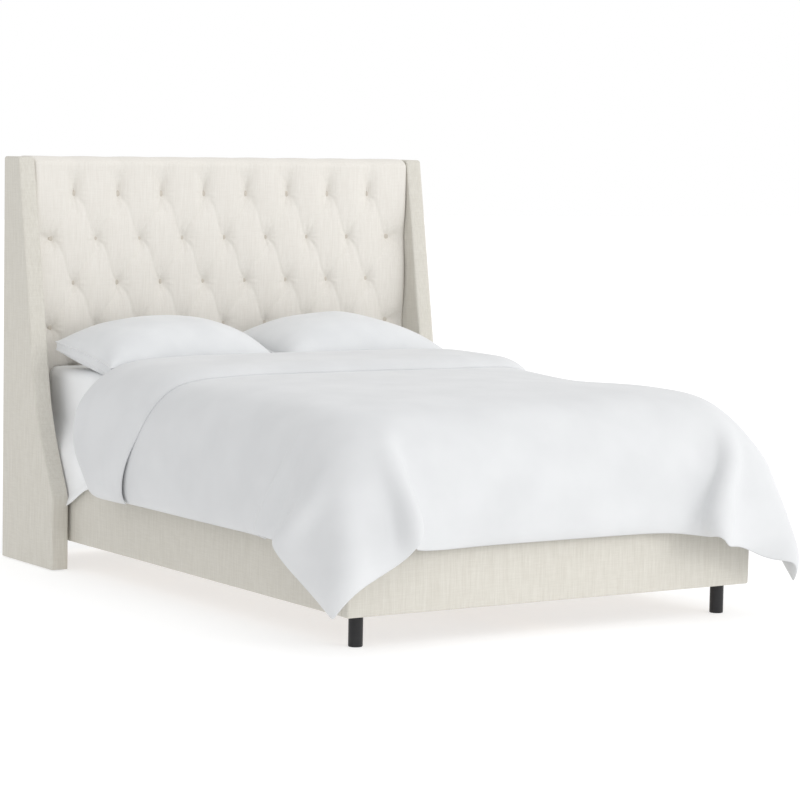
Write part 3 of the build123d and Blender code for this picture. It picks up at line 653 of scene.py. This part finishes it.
def make_tufted_pad():
    """The tufted face, rolled over the top edge onto the lip, as one closed skin."""
    low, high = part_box("tufted_pad")
    half = high.x + PAD_SIDE_PRESS
    columns = round(2 * half / PAD_STEP)
    xs = np.linspace(-half, half, columns)
    rows = pad_rows(low.z, high.z - PAD_TOP_RADIUS)
    depths, heights, angles = (np.array(values) for values in zip(*rows))
    x, z = np.meshgrid(xs, heights)
    depth, angle = depths[:, None], angles[:, None]
    share = tuft_relief(x, z)
    swell = [np.sin(along_x * x + along_z * z + start) for along_x, along_z, start in PAD_WAVES]
    share += PAD_UNEVENNESS * swell[0] * swell[1]
    relief = share * TUFT_RELIEF + dimple_folds(x, z)
    edge = np.clip((half - np.abs(x)) / PAD_EDGE_ROUND, 0, 1)
    relief *= PAD_EDGE_SHARE + (1 - PAD_EDGE_SHARE) * np.sqrt(1 - (1 - edge) ** 2)
    rise = relief * np.cos(angle)
    up = np.sin(angle) * (PAD_TOP_RADIUS - PAD_TOP_ROLL) + relief * np.sin(angle) * PAD_TOP_WAVE
    face = np.stack([x, y_at(depth + rise), z + up], axis=-1).reshape(-1, 3)
    rear = [(place, y_at(PAD_REAR_DEPTH), low.z) for place in xs]
    back = len(face)
    last = back - columns
    faces = grid_faces(len(rows), columns, flip=True)
    for column in range(columns - 1):
        faces.append((column, column + 1, back + column + 1, back + column))
        faces.append((last + column + 1, last + column, back + column, back + column + 1))
    for column in (0, columns - 1):
        faces.append(tuple(range(column, back, columns)) + (back + column,))
    pad = outward(add_mesh("tufted_headboard", np.vstack([face, rear]), faces, PAINTED_LIGHT_TUFT_LINEN))
    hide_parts("tufted_pad")
    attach(pad, "bed")


def make_button_tree():
    """Geometry nodes that put a covered button on every point, flattened along the depth.

    Returns the tree and the identifiers of its two size inputs.
    """
    tree = bpy.data.node_groups.new("covered_buttons", "GeometryNodeTree")
    tree.interface.new_socket(name="Geometry", in_out="INPUT", socket_type="NodeSocketGeometry")
    radius = tree.interface.new_socket(name="Button Radius", in_out="INPUT", socket_type="NodeSocketFloat")
    height = tree.interface.new_socket(name="Button Height", in_out="INPUT", socket_type="NodeSocketFloat")
    tree.interface.new_socket(name="Geometry", in_out="OUTPUT", socket_type="NodeSocketGeometry")
    source, result = tree.nodes.new("NodeGroupInput"), tree.nodes.new("NodeGroupOutput")
    ball = tree.nodes.new("GeometryNodeMeshUVSphere")
    ball.inputs["Segments"].default_value = BUTTON_SIDES
    ball.inputs["Rings"].default_value = BUTTON_RINGS
    ball.inputs["Radius"].default_value = 1.0
    size = tree.nodes.new("ShaderNodeCombineXYZ")
    shape = tree.nodes.new("GeometryNodeTransform")
    place = tree.nodes.new("GeometryNodeInstanceOnPoints")
    real = tree.nodes.new("GeometryNodeRealizeInstances")
    smooth = tree.nodes.new("GeometryNodeSetShadeSmooth")
    finish = tree.nodes.new("GeometryNodeSetMaterial")
    finish.inputs["Material"].default_value = SHADED_BUTTON_LINEN
    for sender, output, receiver, socket in (
            (source, "Button Radius", size, "X"), (source, "Button Height", size, "Y"),
            (source, "Button Radius", size, "Z"), (ball, "Mesh", shape, "Geometry"),
            (size, "Vector", shape, "Scale"), (source, "Geometry", place, "Points"),
            (shape, "Geometry", place, "Instance"), (place, "Instances", real, "Geometry"),
            (real, "Geometry", smooth, "Geometry"), (smooth, "Geometry", finish, "Geometry"),
            (finish, "Geometry", result, "Geometry")):
        tree.links.new(sender.outputs[output], receiver.inputs[socket])
    return tree, radius.identifier, height.identifier


def make_buttons():
    """The covered buttons, each sunk in its dimple."""
    tree, radius, height = make_button_tree()
    points = [(x, y_at(BUTTON_DEPTH), z) for x, z in button_places()]
    buttons = add_mesh("covered_buttons", points, [], SHADED_BUTTON_LINEN)
    modifier = buttons.modifiers.new("buttons", "NODES")
    modifier.node_group = tree
    modifier[radius] = BUTTON_RADIUS
    modifier[height] = BUTTON_HEIGHT
    bake(buttons)
    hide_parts("tuft_buttons")
    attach(buttons, "bed")


# Wings
# A corner, knee or top of the flared front edge is its depth and its height.

WING_CORNER = (0.377, 0.249)
WING_KNEE = (0.255, 0.494)
WING_TOP = (0.109, 1.353)
WING_KNEE_EASE = 0.13
WING_KNEE_POINTS = 17
WING_EDGE = 0.009
WING_FOOT_EDGE_SHARE = 0.6
WING_FOOT_ROWS = 5
WING_ROWS = 110
WING_TOP_ROWS = 6
WING_RADIUS_SHARE = 0.98
WING_RADIUS_SHRINK = 0.9
WING_SIDE_PARTS = (3, 16, 5)
WING_PRESS = 0.0012
WING_WAVE = 0.0009
WING_WAVE_SCALE = 9.0
# How near the side face a point must be to be pressed in
WING_FACE_BAND = 0.0005


def wing_outline():
    """Heights and depths up the flared front edge, with its knee eased by an arc."""
    corner_depth, corner_height = WING_CORNER
    knee_depth, knee_height = WING_KNEE
    top_depth, top_height = WING_TOP
    lower = Vector((knee_depth - corner_depth, knee_height - corner_height)).normalized()
    upper = Vector((top_depth - knee_depth, top_height - knee_height)).normalized()
    knee = Vector(WING_KNEE)
    start, end = knee - lower * WING_KNEE_EASE, knee + upper * WING_KNEE_EASE
    points = [(0.0, corner_depth), (corner_height, corner_depth)]
    for share in np.linspace(0, 1, WING_KNEE_POINTS):
        place = start * (1 - share) ** 2 + knee * 2 * share * (1 - share) + end * share ** 2
        points.append((place.y, place.x))
    points.append((top_height, top_depth))
    return points


def wing_levels(low, high):
    """Heights of a wing's slices, close together where its edges are rounded."""
    foot_turns = np.linspace(0, QUARTER_TURN, WING_FOOT_ROWS)
    top_turns = np.linspace(0, QUARTER_TURN, WING_TOP_ROWS)
    return np.concatenate([low + WING_EDGE * (1 - np.cos(foot_turns)) * WING_FOOT_EDGE_SHARE,
                           np.linspace(low + WING_EDGE, high - WING_EDGE, WING_ROWS)[1:-1],
                           high - WING_EDGE * (1 - np.sin(top_turns))])


def make_wing(side):
    """A padded wing: level slices from the floor pad to the top, each a rounded rectangle."""
    low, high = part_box(f"wing_cover_{side}")
    middle_x, half_x = (low.x + high.x) / 2, (high.x - low.x) / 2
    heights, depths = zip(*wing_outline())
    loops = []
    for z in wing_levels(low.z, high.z):
        depth = np.interp(z, heights, depths)
        rounding = max(z - (high.z - WING_EDGE), 0)
        shrink = WING_EDGE - math.sqrt(max(WING_EDGE ** 2 - rounding ** 2, 0))
        radius = WING_EDGE * WING_RADIUS_SHARE - shrink * WING_RADIUS_SHRINK
        loop = rounded_loop(half_x - shrink, depth / 2 - shrink, radius, *WING_SIDE_PARTS)
        loops.append([(middle_x + x, y_at(depth / 2) + y, z) for x, y in loop])
    loops = np.array(loops)
    points = loops.reshape(-1, 3)
    from_middle = points[:, 0] - middle_x
    press = np.sign(from_middle) * (WING_PRESS + soft_wave(points, WING_WAVE, WING_WAVE_SCALE))
    on_face = np.abs(np.abs(from_middle) - half_x) < WING_FACE_BAND
    points[:, 0] -= np.where(on_face, press, 0)
    wing = loop_loft(f"wing_{side}", loops, LINEN)
    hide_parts(f"wing_cover_{side}")
    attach(wing, "bed")


# Rails, kick panel and rear cloth

RAIL_EDGE = 0.0055
KICK_EDGE = 0.004
RAIL_STEP = 0.03
RAIL_SOFTNESS = 0.0012
RAIL_WAVE = 0.0010
RAIL_WAVE_SCALE = 11.0
RAIL_EASE = 0.03
RAIL_EASE_SHARE = 0.7
REAR_CLOTH_EDGE = 0.0006
REAR_CLOTH_STEP = 0.05


def make_rails():
    """Padded covers of the rails. Each stands for its CAD cover, which wraps the same board."""
    for node in ("rail_cover_left", "rail_cover_right", "foot_rail_cover", "kick_panel"):
        low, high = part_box(node)
        edge = KICK_EDGE if node == "kick_panel" else RAIL_EDGE
        name = node.replace("cover", "padding").replace("panel", "padding")
        rail = padded_box(name, low, high, edge, RAIL_STEP, LINEN)
        points = coords(rail)
        middle = (np.array(low) + np.array(high)) / 2
        across = 1 if node in ("foot_rail_cover", "kick_panel") else 0
        front = -1 if across == 1 else math.copysign(1, middle[0])
        outer = (points[:, across] - middle[across]) * front > 0
        from_edge = np.clip(np.minimum(points[:, 2] - low.z, high.z - points[:, 2]) / RAIL_EASE, 0, 1)
        press = RAIL_SOFTNESS + soft_wave(points, RAIL_WAVE, RAIL_WAVE_SCALE)
        points[:, across] -= np.where(outer, front * press * (1 - from_edge * RAIL_EASE_SHARE), 0)
        set_coords(rail, points)
        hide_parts(node)
        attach(rail, "bed")


def make_back_cloth():
    """The dust cloth behind the headboard."""
    low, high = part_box("headboard_back_cover")
    cloth = padded_box("rear_dust_cloth", low, high, REAR_CLOTH_EDGE, REAR_CLOTH_STEP, DUST_CLOTH, corner=3)
    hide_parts("headboard_back_cover")
    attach(cloth, "bed")


# Mattress and box spring

BLOCK_STEP = 0.05
MATTRESS_EDGE = 0.030
MATTRESS_CORNER = 0.11
MATTRESS_FOOT_SAG = 0.02
MATTRESS_SAG_START = 1.80
BOX_SPRING_EDGE = 0.008
BOX_SPRING_CORNER = 0.045


def make_block_bedding(node, name, edge, corner, foot_sag=0.0):
    """A stuffed box whose upright corners are rounded, and whose top gives way towards the foot."""
    low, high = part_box(node)
    block = padded_box(name, low, high, edge, BLOCK_STEP, TICKING)
    points = coords(block)
    centre = (np.array(low) + np.array(high)) / 2
    half = (np.array(high) - np.array(low)) / 2
    local = points - centre
    inner = half[:2] - corner
    beyond = np.maximum(np.abs(local[:, :2]) - inner, 0)
    reach = np.hypot(beyond[:, 0], beyond[:, 1])
    square = np.maximum(beyond.max(axis=1), LEAST_LENGTH)
    shrink = np.where(reach > 0, square / np.maximum(reach, LEAST_LENGTH), 1)
    moved = np.sign(local[:, :2]) * (np.minimum(np.abs(local[:, :2]), inner) + beyond * shrink[:, None])
    points[:, :2] = centre[:2] + moved
    towards_foot = smoothstep(y_at(MATTRESS_SAG_START), low.y, points[:, 1])
    points[:, 2] -= foot_sag * towards_foot * np.clip(local[:, 2] / half[2], 0, 1)
    set_coords(block, points)
    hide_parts(node)
    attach(block, "bed")


# Duvet

DUVET_STEP = 0.022
DUVET_WIDTH = 2.16
DUVET_HEAD_DEPTH = 0.640
DUVET_FOOT_BEND = 2.0
DUVET_FOOT_LENGTH = 0.420
DUVET_END_DEPTH = DUVET_FOOT_BEND + DUVET_FOOT_LENGTH
DUVET_START_HEIGHT = 0.675
DUVET_FRAMES = 60
DUVET_SMOOTHINGS = 3
# How much of a point's place its neighbours take over in one smoothing
SMOOTH_SHARE = 0.6
DUVET_HALF_THICKNESS = 0.015
DUVET_HEM_TAPER = 0.07
DUVET_SEAM = 0.001
# The middle of the duvet that lies still while its sides fall: half its width, and where it ends
HELD_HALF = 0.30
HELD_END_DEPTH = 1.50
# How the cloth hangs and bends while it falls, by the simulation's own names
CLOTH_SETTINGS = {
    "quality": 7, "mass": 0.4, "air_damping": 1.5, "tension_stiffness": 25, "compression_stiffness": 25,
    "shear_stiffness": 12, "bending_stiffness": 8, "tension_damping": 15, "compression_damping": 15,
    "shear_damping": 15, "bending_damping": 2}
CLOTH_GAP = 0.010
CLOTH_COLLISION_QUALITY = 3
FORM_GAP = 0.012
FORM_FRICTION = 8
FORM_DAMPING = 0.4

# Each level of the shape under the duvet: height, half width, foot depth, and the reach, flare and bulge
# of the lobe at each foot corner, all of the form that the filling holds up.
DRAPE_LEVELS = (
    (0.020, 0.775, 2.123, 0.201, 0.020, 0.032), (0.112, 0.775, 2.123, 0.201, 0.020, 0.032),
    (0.300, 0.769, 2.117, 0.330, 0.020, 0.053), (0.445, 0.753, 2.101, 0.254, 0.000, 0.030),
    (0.562, 0.728, 2.069, 0.180, -0.040, 0.014), (0.613, 0.696, 2.030, 0.198, -0.055, 0.015),
    (0.632, 0.670, 2.000, 0.224, -0.065, 0.017), (0.646, 0.600, 1.910, 0.264, -0.090, 0.020),
    (0.655, 0.380, 1.660, 0.280, -0.100, 0.021))
DRAPE_HEAD_DEPTH = 0.2
LOBE_CREASE = 0.88
LOBE_PARTS = 8

# Small tugs that settle the fallen duvet: place, shift and reach
TUGS = (
    ((-0.835, -1.050, 0.11), (-0.040, -0.014, 0.014), 0.16),
    ((0.835, -1.050, 0.11), (0.002, -0.032, 0.014), 0.16),
    ((-0.555, -1.156, 0.32), (-0.018, 0.012, 0.000), 0.10),
    ((0.555, -1.130, 0.34), (-0.085, 0.014, -0.015), 0.13),
    ((0.515, -1.150, 0.31), (0.000, 0.000, -0.048), 0.08),
    ((0.700, -1.120, 0.22), (0.000, 0.000, -0.025), 0.10),
    ((-0.865, -0.810, 0.28), (0.004, 0.004, 0.018), 0.07),
    ((-0.915, -0.895, 0.28), (0.002, 0.028, 0.024), 0.08),
    ((0.600, -0.200, 0.67), (0.000, 0.000, -0.018), 0.30))
MIRROR_BLEND = 0.5
HEM_TUCK = 0.012
HEM_TUCK_REACH = 0.12

# The head end and the fold-back. A span is where a change starts and ends, by distance from the middle
HEAD_BULGE = 0.085
HEAD_BULGE_PLACE = 0.84
HEAD_BULGE_REACH = 0.12
HEAD_TUCK = 0.075
HEAD_TUCK_SPAN = (0.92, 1.04)
HEAD_FADE = 0.16
BAND_ROWS = 24
BAND_END = 1.045
BAND_END_SLANT = 0.175
BAND_END_SPAN = (0.55, 1.08)
BAND_RIGHT_SLANT = 0.085
BAND_RIGHT_SPAN = (0.25, 0.65)
BAND_END_TAPER = 0.080
BAND_TAPER_POWER = 0.85
BAND_SIDE_POWER_DROP = 0.35
BAND_SIDE_SPAN = (0.80, 0.98)
BAND_HEM_LIFT = 0.010
BAND_HEM_SPAN = (0.85, 1.02)
ROLL_PARTS = 6
ROLL_BULGE = 1.3


def bowed(start, end, bulge):
    """Points from start up to the end, but without it, on a curve bowed to the right by the bulge."""
    run = Vector(end) - Vector(start)
    out = Vector((run.y, -run.x)).normalized()
    shares = [index / LOBE_PARTS for index in range(LOBE_PARTS)]
    return [Vector(start) + run * share + out * 4 * share * (1 - share) * bulge for share in shares]


def form_ring(z, half, foot_depth, reach, flare, bulge):
    """A level outline round the mattress: a lobe at each foot corner, and square at its head."""
    foot_y = y_at(foot_depth)
    tip, side_start = (half + flare, foot_y - flare), (half, foot_y + reach)
    right = bowed((half - reach * LOBE_CREASE, foot_y), tip, bulge) + bowed(tip, side_start, bulge)
    right += [Vector(side_start), Vector((half, y_at(DRAPE_HEAD_DEPTH)))]
    return [(x, y, z) for x, y in right] + [(-x, y, z) for x, y in reversed(right)]


def make_drape_form():
    """The shape under the duvet while it falls: mattress, rails and filling, with all edges eased."""
    rings = [form_ring(*level) for level in DRAPE_LEVELS]
    form = loop_loft("drape_form", rings, TICKING)
    form.modifiers.new("collision", "COLLISION")
    form.collision.thickness_outer = FORM_GAP
    form.collision.cloth_friction = FORM_FRICTION
    form.collision.damping = FORM_DAMPING
    return form


def drape_duvet():
    """Lets a flat sheet of the duvet's size fall over the form. Returns its rows of points."""
    columns = round(DUVET_WIDTH / DUVET_STEP)
    rows = round((DUVET_END_DEPTH - DUVET_HEAD_DEPTH) / DUVET_STEP)
    xs = np.linspace(-DUVET_WIDTH / 2, DUVET_WIDTH / 2, columns)
    depths = np.linspace(DUVET_HEAD_DEPTH, DUVET_END_DEPTH, rows)
    points = [(x, y_at(depth), DUVET_START_HEIGHT) for depth in depths for x in xs]
    cloth = add_mesh("falling_duvet", points, grid_faces(rows, columns), DUVET_COTTON)
    held = cloth.vertex_groups.new(name="held")
    held.add([row * columns + column for row in range(rows) for column in range(columns)
              if abs(xs[column]) < HELD_HALF and depths[row] < HELD_END_DEPTH], 1.0, "REPLACE")
    modifier = cloth.modifiers.new("cloth", "CLOTH")
    for setting, value in CLOTH_SETTINGS.items():
        setattr(modifier.settings, setting, value)
    modifier.settings.vertex_group_mass = "held"
    modifier.collision_settings.distance_min = CLOTH_GAP
    modifier.collision_settings.collision_quality = CLOTH_COLLISION_QUALITY
    modifier.collision_settings.use_self_collision = False
    modifier.point_cache.frame_start = 1
    modifier.point_cache.frame_end = DUVET_FRAMES
    form = make_drape_form()
    for index in range(1, DUVET_FRAMES + 1):
        bpy.context.scene.frame_set(index)
    fallen = coords(cloth.evaluated_get(bpy.context.evaluated_depsgraph_get()))
    bpy.data.objects.remove(cloth)
    bpy.data.objects.remove(form)
    bpy.context.scene.frame_set(1)
    return fallen.reshape(rows, columns, 3)


def smooth_grid(grid, rounds):
    """Averages each point with its neighbours, and keeps the border on its own line."""
    for _ in range(rounds):
        inner = (grid[:-2, 1:-1] + grid[2:, 1:-1] + grid[1:-1, :-2] + grid[1:-1, 2:]) / 4
        grid = grid.copy()
        grid[1:-1, 1:-1] = grid[1:-1, 1:-1] * (1 - SMOOTH_SHARE) + inner * SMOOTH_SHARE
        for line in (0, -1):
            grid[line, 1:-1] = grid[line, 1:-1] / 2 + (grid[line, :-2] + grid[line, 2:]) / 4
            grid[1:-1, line] = grid[1:-1, line] / 2 + (grid[:-2, line] + grid[2:, line]) / 4
    return grid


def settled(grid):
    """The fallen duvet with its right side made like its left, and settled by the small tugs."""
    columns = grid.shape[1]
    left = smoothstep(-MIRROR_BLEND, MIRROR_BLEND, np.linspace(1, -1, columns))[None, :, None]
    grid = grid * left + grid[:, ::-1] * (-1, 1, 1) * (1 - left)
    for place, shift, reach in TUGS:
        away = np.linalg.norm(grid - place, axis=-1) / reach
        grid = grid + np.exp(-away ** 2)[..., None] * np.array(shift)
    return grid


def row_normals(grid):
    """Unit normals of a grid of points, pointing away from the mattress."""
    normals = np.cross(np.gradient(grid, axis=0), np.gradient(grid, axis=1))
    return normals / (np.linalg.norm(normals, axis=-1, keepdims=True) + LEAST_AREA)


def distances(grid, axis):
    """Distances along the rows or columns of a grid of points, from its first line to each point."""
    steps = np.linalg.norm(np.diff(grid, axis=axis), axis=-1)
    start = np.zeros((1, grid.shape[1])) if axis == 0 else np.zeros((grid.shape[0], 1))
    return np.concatenate([start, np.cumsum(steps, axis=axis)], axis=axis)


def from_sides(grid):
    """Distance of each point of a grid from the nearer of its two sides."""
    from_left = distances(grid, 1)
    return np.minimum(from_left, from_left[:, -1:] - from_left)


def stuffing(border):
    """Half the thickness of stuffed cloth at each distance from its seam."""
    share = np.clip(border / DUVET_HEM_TAPER, 0, 1)
    return DUVET_HALF_THICKNESS * np.sqrt(1 - (1 - share) ** 2) + DUVET_SEAM


def swung_head(grid, across):
    """Lets the head end bulge towards the headboard over the bed's edge, and tucks its corners back."""
    swing = HEAD_BULGE * np.exp(-((across - HEAD_BULGE_PLACE) / HEAD_BULGE_REACH) ** 2)
    swing -= HEAD_TUCK * smoothstep(*HEAD_TUCK_SPAN, across)
    from_head = np.linspace(0, DUVET_END_DEPTH - DUVET_HEAD_DEPTH, len(grid))
    grid[..., 1] += np.exp(-(from_head / HEAD_FADE) ** 2)[:, None] * swing[None, :]
    return grid


def tucked_hem(grid, side_border):
    """Pulls the hem in towards the bed, most of all at its very edge."""
    from_head = distances(grid, 0)
    from_hem = np.minimum(side_border, from_head[-1] - from_head)
    share = 1 - np.clip(from_hem / HEM_TUCK_REACH, 0, 1)
    return grid - row_normals(grid) * (HEM_TUCK * share ** 2)[..., None]


def folded_band(grid, place_across, side_border):
    """The part of the duvet that is folded back to lie on it, from its free end to the fold."""
    rows, columns = grid.shape[:2]
    row_step = (DUVET_END_DEPTH - DUVET_HEAD_DEPTH) / (rows - 1)
    across = np.abs(place_across)
    normals = row_normals(grid)
    length = BAND_END - BAND_END_SLANT * smoothstep(*BAND_END_SPAN, across) - DUVET_HEAD_DEPTH
    length -= BAND_RIGHT_SLANT * smoothstep(*BAND_RIGHT_SPAN, place_across)
    power = BAND_TAPER_POWER - BAND_SIDE_POWER_DROP * smoothstep(*BAND_SIDE_SPAN, across)
    hem = BAND_HEM_LIFT * smoothstep(*BAND_HEM_SPAN, across)
    line = np.arange(columns)
    band = []
    for share in np.sin(np.linspace(QUARTER_TURN, 0, BAND_ROWS)):
        place = length * share / row_step
        low = np.clip(place.astype(int), 0, rows - 2)
        part = (place - low)[:, None]
        point = grid[low, line] * (1 - part) + grid[low + 1, line] * part
        normal = normals[low, line] * (1 - part) + normals[low + 1, line] * part
        beside = stuffing(side_border[low, line])
        to_end = np.clip(length * (1 - share) / BAND_END_TAPER, 0, 1)
        band.append(point + normal * (beside * (1 + to_end ** power) + hem)[:, None])
    return np.array(band)


def fold_roll(upper, lower):
    """Rows of points round the fold, from the last row of the band to the first row under it."""
    centre = (upper + lower) / 2
    lift = np.linalg.norm(upper - lower, axis=-1)[:, None]
    away = np.array([0.0, 1.0, 0.0]) * lift / 2 * ROLL_BULGE
    turns = np.linspace(0, math.pi, ROLL_PARTS + 1)[1:-1]
    return np.array([centre + (upper - centre) * math.cos(turn) + away * math.sin(turn) for turn in turns])


def make_duvet():
    """The duvet: a draped layer, its head end folded back to lie on it, given thickness all over."""
    grid = settled(smooth_grid(drape_duvet(), DUVET_SMOOTHINGS))
    place_across = np.linspace(-DUVET_WIDTH / 2, DUVET_WIDTH / 2, grid.shape[1])
    grid = swung_head(grid, np.abs(place_across))
    side_border = from_sides(grid)
    grid = tucked_hem(grid, side_border)
    band = folded_band(grid, place_across, side_border)
    middle = np.vstack([band, fold_roll(band[-1], grid[0]), grid])
    from_end = distances(middle, 0)
    border = np.minimum(from_sides(middle), np.minimum(from_end, from_end[-1] - from_end))
    thick = row_normals(middle) * stuffing(border)[..., None]
    points = np.vstack([(middle + thick).reshape(-1, 3), (middle - thick).reshape(-1, 3)])
    duvet = outward(add_mesh("duvet_cover", points, layered_faces(*middle.shape[:2], 2), DUVET_COTTON))
    subdivide(duvet)
    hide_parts("duvet")
    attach(duvet, "bed")


# Flat sheet
# A span is where a change starts and ends: by depth, by height or as a share of the fall.

SHEET_SINK = 0.0006
SHEET_HALF = 0.6835
SHEET_EDGE = 0.032
SHEET_PARTS = (12, 8, 24)
SHEET_DEPTHS = (0.1195, 1.85)
SHEET_ROWS = 60
SHEET_END = 0.215
SHEET_HEM = 0.205
SHEET_HEM_RISE = 0.085
SHEET_HEM_SPAN = (0.33, 0.56)
SHEET_CURL = 0.014
SHEET_CURL_SPAN = (0.90, 1.0)
SHEET_RAIL_REACH = 0.050
SHEET_RAIL_SPAN = (0.365, 0.50)
SHEET_THICKNESS = 0.0018


def sheet_section(top):
    """X and Z across the sheet, from its left hem over the mattress to its right hem."""
    inner, bend = SHEET_HALF - SHEET_EDGE, top - SHEET_EDGE
    flat_part, round_part, hanging_part = SHEET_PARTS
    section = [(x, top) for x in np.linspace(0, inner, flat_part)]
    for turn in np.linspace(0, QUARTER_TURN, round_part)[1:]:
        section.append((inner + SHEET_EDGE * math.sin(turn), bend + SHEET_EDGE * math.cos(turn)))
    section += [(SHEET_HALF, z) for z in np.linspace(bend, SHEET_END, hanging_part)[1:]]
    section = np.array(section)
    return np.vstack([section[::-1] * (-1, 1), section[1:]])


def make_flat_sheet():
    """The sheet over the mattress, hanging down both sides by the headboard."""
    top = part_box("flat_sheet")[1].z - SHEET_SINK
    bend = top - SHEET_EDGE
    x, z = sheet_section(top).T
    rows = []
    for depth in np.linspace(*SHEET_DEPTHS, SHEET_ROWS):
        hem = SHEET_HEM + SHEET_HEM_RISE * smoothstep(*SHEET_HEM_SPAN, depth)
        fall = np.clip((bend - z) / (bend - SHEET_END), 0, 1)
        hung = np.where(z < bend, bend - fall * (bend - hem), z)
        spread = SHEET_RAIL_REACH * (1 - smoothstep(*SHEET_RAIL_SPAN, hung))
        curl = SHEET_CURL * smoothstep(*SHEET_CURL_SPAN, fall)
        rows.append(np.stack([x + np.sign(x) * (spread + curl), np.full(len(x), y_at(depth)), hung], axis=-1))
    sheet = add_mesh("top_sheet", np.vstack(rows), grid_faces(len(rows), len(x)), PAINTED_LIGHT_SHEET_COTTON)
    solid = sheet.modifiers.new("cloth", "SOLIDIFY")
    solid.thickness = SHEET_THICKNESS
    solid.offset = 0
    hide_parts("flat_sheet")
    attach(sheet, "bed")


# Pillows

PILLOW_GRID = (64, 46)
PILLOW_DEPTHS = (0.215, 0.603)
PILLOW_SPANS = {"left": (-0.705, -0.070), "right": (-0.030, 0.625)}
PILLOW_CROWN = 0.842
PILLOW_SEAM_BACK = 0.745
PILLOW_SEAM_FRONT = 0.688
PILLOW_BORDER = 0.031
PILLOW_PIPING = 0.005
# How much a pillow's ends and sides curve in, as shares of its half length and half width
PILLOW_END_CURVE = 0.04
PILLOW_SIDE_CURVE = 0.05
# How fast a pillow's crown falls off: the right one slopes softly to its far end
PILLOW_END_POWER = 2.4
PILLOW_SLOPE_POWER = 1.3
PILLOW_SIDE_POWER = 3.0
PILLOW_DOME_POWER = 0.55
PILLOW_FRONT_DROP = 0.10
PILLOW_WAVE = 0.0022
PILLOW_WAVE_SCALE = 11.0
PILLOW_UNDERSIDE = 0.06
# Rings down a pillow's border, as shares of its height and of the piping's width
PILLOW_RINGS = ((0.02, 1.0), (0.12, 0.9), (0.20, 0.0), (0.50, 0.2), (0.80, 0.0), (0.88, 0.7), (0.98, 0.7))


def make_pillow(side):
    """A soft pillow: a crowned top that ends in a seam, a narrow upright border and a sunk underside."""
    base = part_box(f"pillow_{side}")[0].z
    low_x, high_x = PILLOW_SPANS[side]
    far, near = PILLOW_DEPTHS
    centre = np.array([(low_x + high_x) / 2, y_at((near + far) / 2)])
    half = np.array([(high_x - low_x) / 2, (near - far) / 2])
    u, v = np.meshgrid(*(np.sin(np.linspace(-1, 1, count) * QUARTER_TURN) for count in PILLOW_GRID))
    x = centre[0] + half[0] * u * (1 - PILLOW_END_CURVE * (1 - v ** 2) * np.abs(u))
    y = centre[1] + half[1] * v * (1 - PILLOW_SIDE_CURVE * (1 - u ** 2) * np.abs(v))
    seam = PILLOW_SEAM_FRONT + (PILLOW_SEAM_BACK - PILLOW_SEAM_FRONT) * (v + 1) / 2
    ends = np.where((u > 0) & (side == "right"), PILLOW_SLOPE_POWER, PILLOW_END_POWER)
    dome = ((1 - np.abs(u) ** ends) * (1 - np.abs(v) ** PILLOW_SIDE_POWER)) ** PILLOW_DOME_POWER
    top = seam + dome * (PILLOW_CROWN - seam) * (1 - PILLOW_FRONT_DROP * (1 - v))
    places = np.stack([x, y, top], axis=-1).reshape(-1, 3)
    top = top + soft_wave(places, PILLOW_WAVE, PILLOW_WAVE_SCALE).reshape(x.shape) * dome
    under = np.maximum(seam - PILLOW_BORDER - dome * PILLOW_UNDERSIDE, base)
    layers = [np.stack([x, y, top], axis=-1)]
    for drop, out in PILLOW_RINGS:
        ring = layers[0].copy()
        ring[..., :2] += (ring[..., :2] - centre) / half * out * PILLOW_PIPING
        ring[..., 2] = seam - PILLOW_BORDER * drop
        layers.append(ring)
    layers.append(np.stack([x, y, under], axis=-1))
    points = np.array(layers).reshape(-1, 3)
    faces = layered_faces(*x.shape, len(layers))
    pillow = outward(add_mesh(f"bed_pillow_{side}", points, faces, PILLOW_COTTON))
    subdivide(pillow)
    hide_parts(f"pillow_{side}")
    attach(pillow, f"pillow_{side}")


# Front legs

LEG_EASE = 0.0025
LEG_EASE_SHARE = 0.3
LEG_SIDES = 64


def make_leg(side):
    """A turned round leg with an eased foot, as a lathed mesh."""
    low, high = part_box(f"front_leg_{side}")
    x, y = (low.x + high.x) / 2, (low.y + high.y) / 2
    radius = (high.x - low.x) / 2
    bevel = LEG_EASE * LEG_EASE_SHARE
    profile = [(radius - LEG_EASE, low.z), (radius - bevel, low.z + bevel), (radius, low.z + LEG_EASE),
               (radius, low.z + 2 * LEG_EASE), (radius, high.z - LEG_EASE), (radius, high.z)]
    turns = np.linspace(0, FULL_TURN, LEG_SIDES, endpoint=False)
    loops = [[(x + size * math.cos(turn), y + size * math.sin(turn), z) for turn in turns]
             for size, z in profile]
    leg = loop_loft(f"turned_leg_{side}", loops, BLACK_LACQUER)
    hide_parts(f"front_leg_{side}")
    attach(leg, "bed")


# Building it all

bpy.context.scene.view_settings.view_transform = "Standard"
dress_cad_nodes()
make_camera()
make_surround()
make_key_light()
make_floor()
make_tufted_pad()
make_buttons()
for bed_side in ("left", "right"):
    make_wing(bed_side)
    make_pillow(bed_side)
    make_leg(bed_side)
make_rails()
make_back_cloth()
make_block_bedding("mattress", "stuffed_mattress", MATTRESS_EDGE, MATTRESS_CORNER, MATTRESS_FOOT_SAG)
make_block_bedding("box_spring", "stuffed_box_spring", BOX_SPRING_EDGE, BOX_SPRING_CORNER)
make_flat_sheet()
make_duvet()
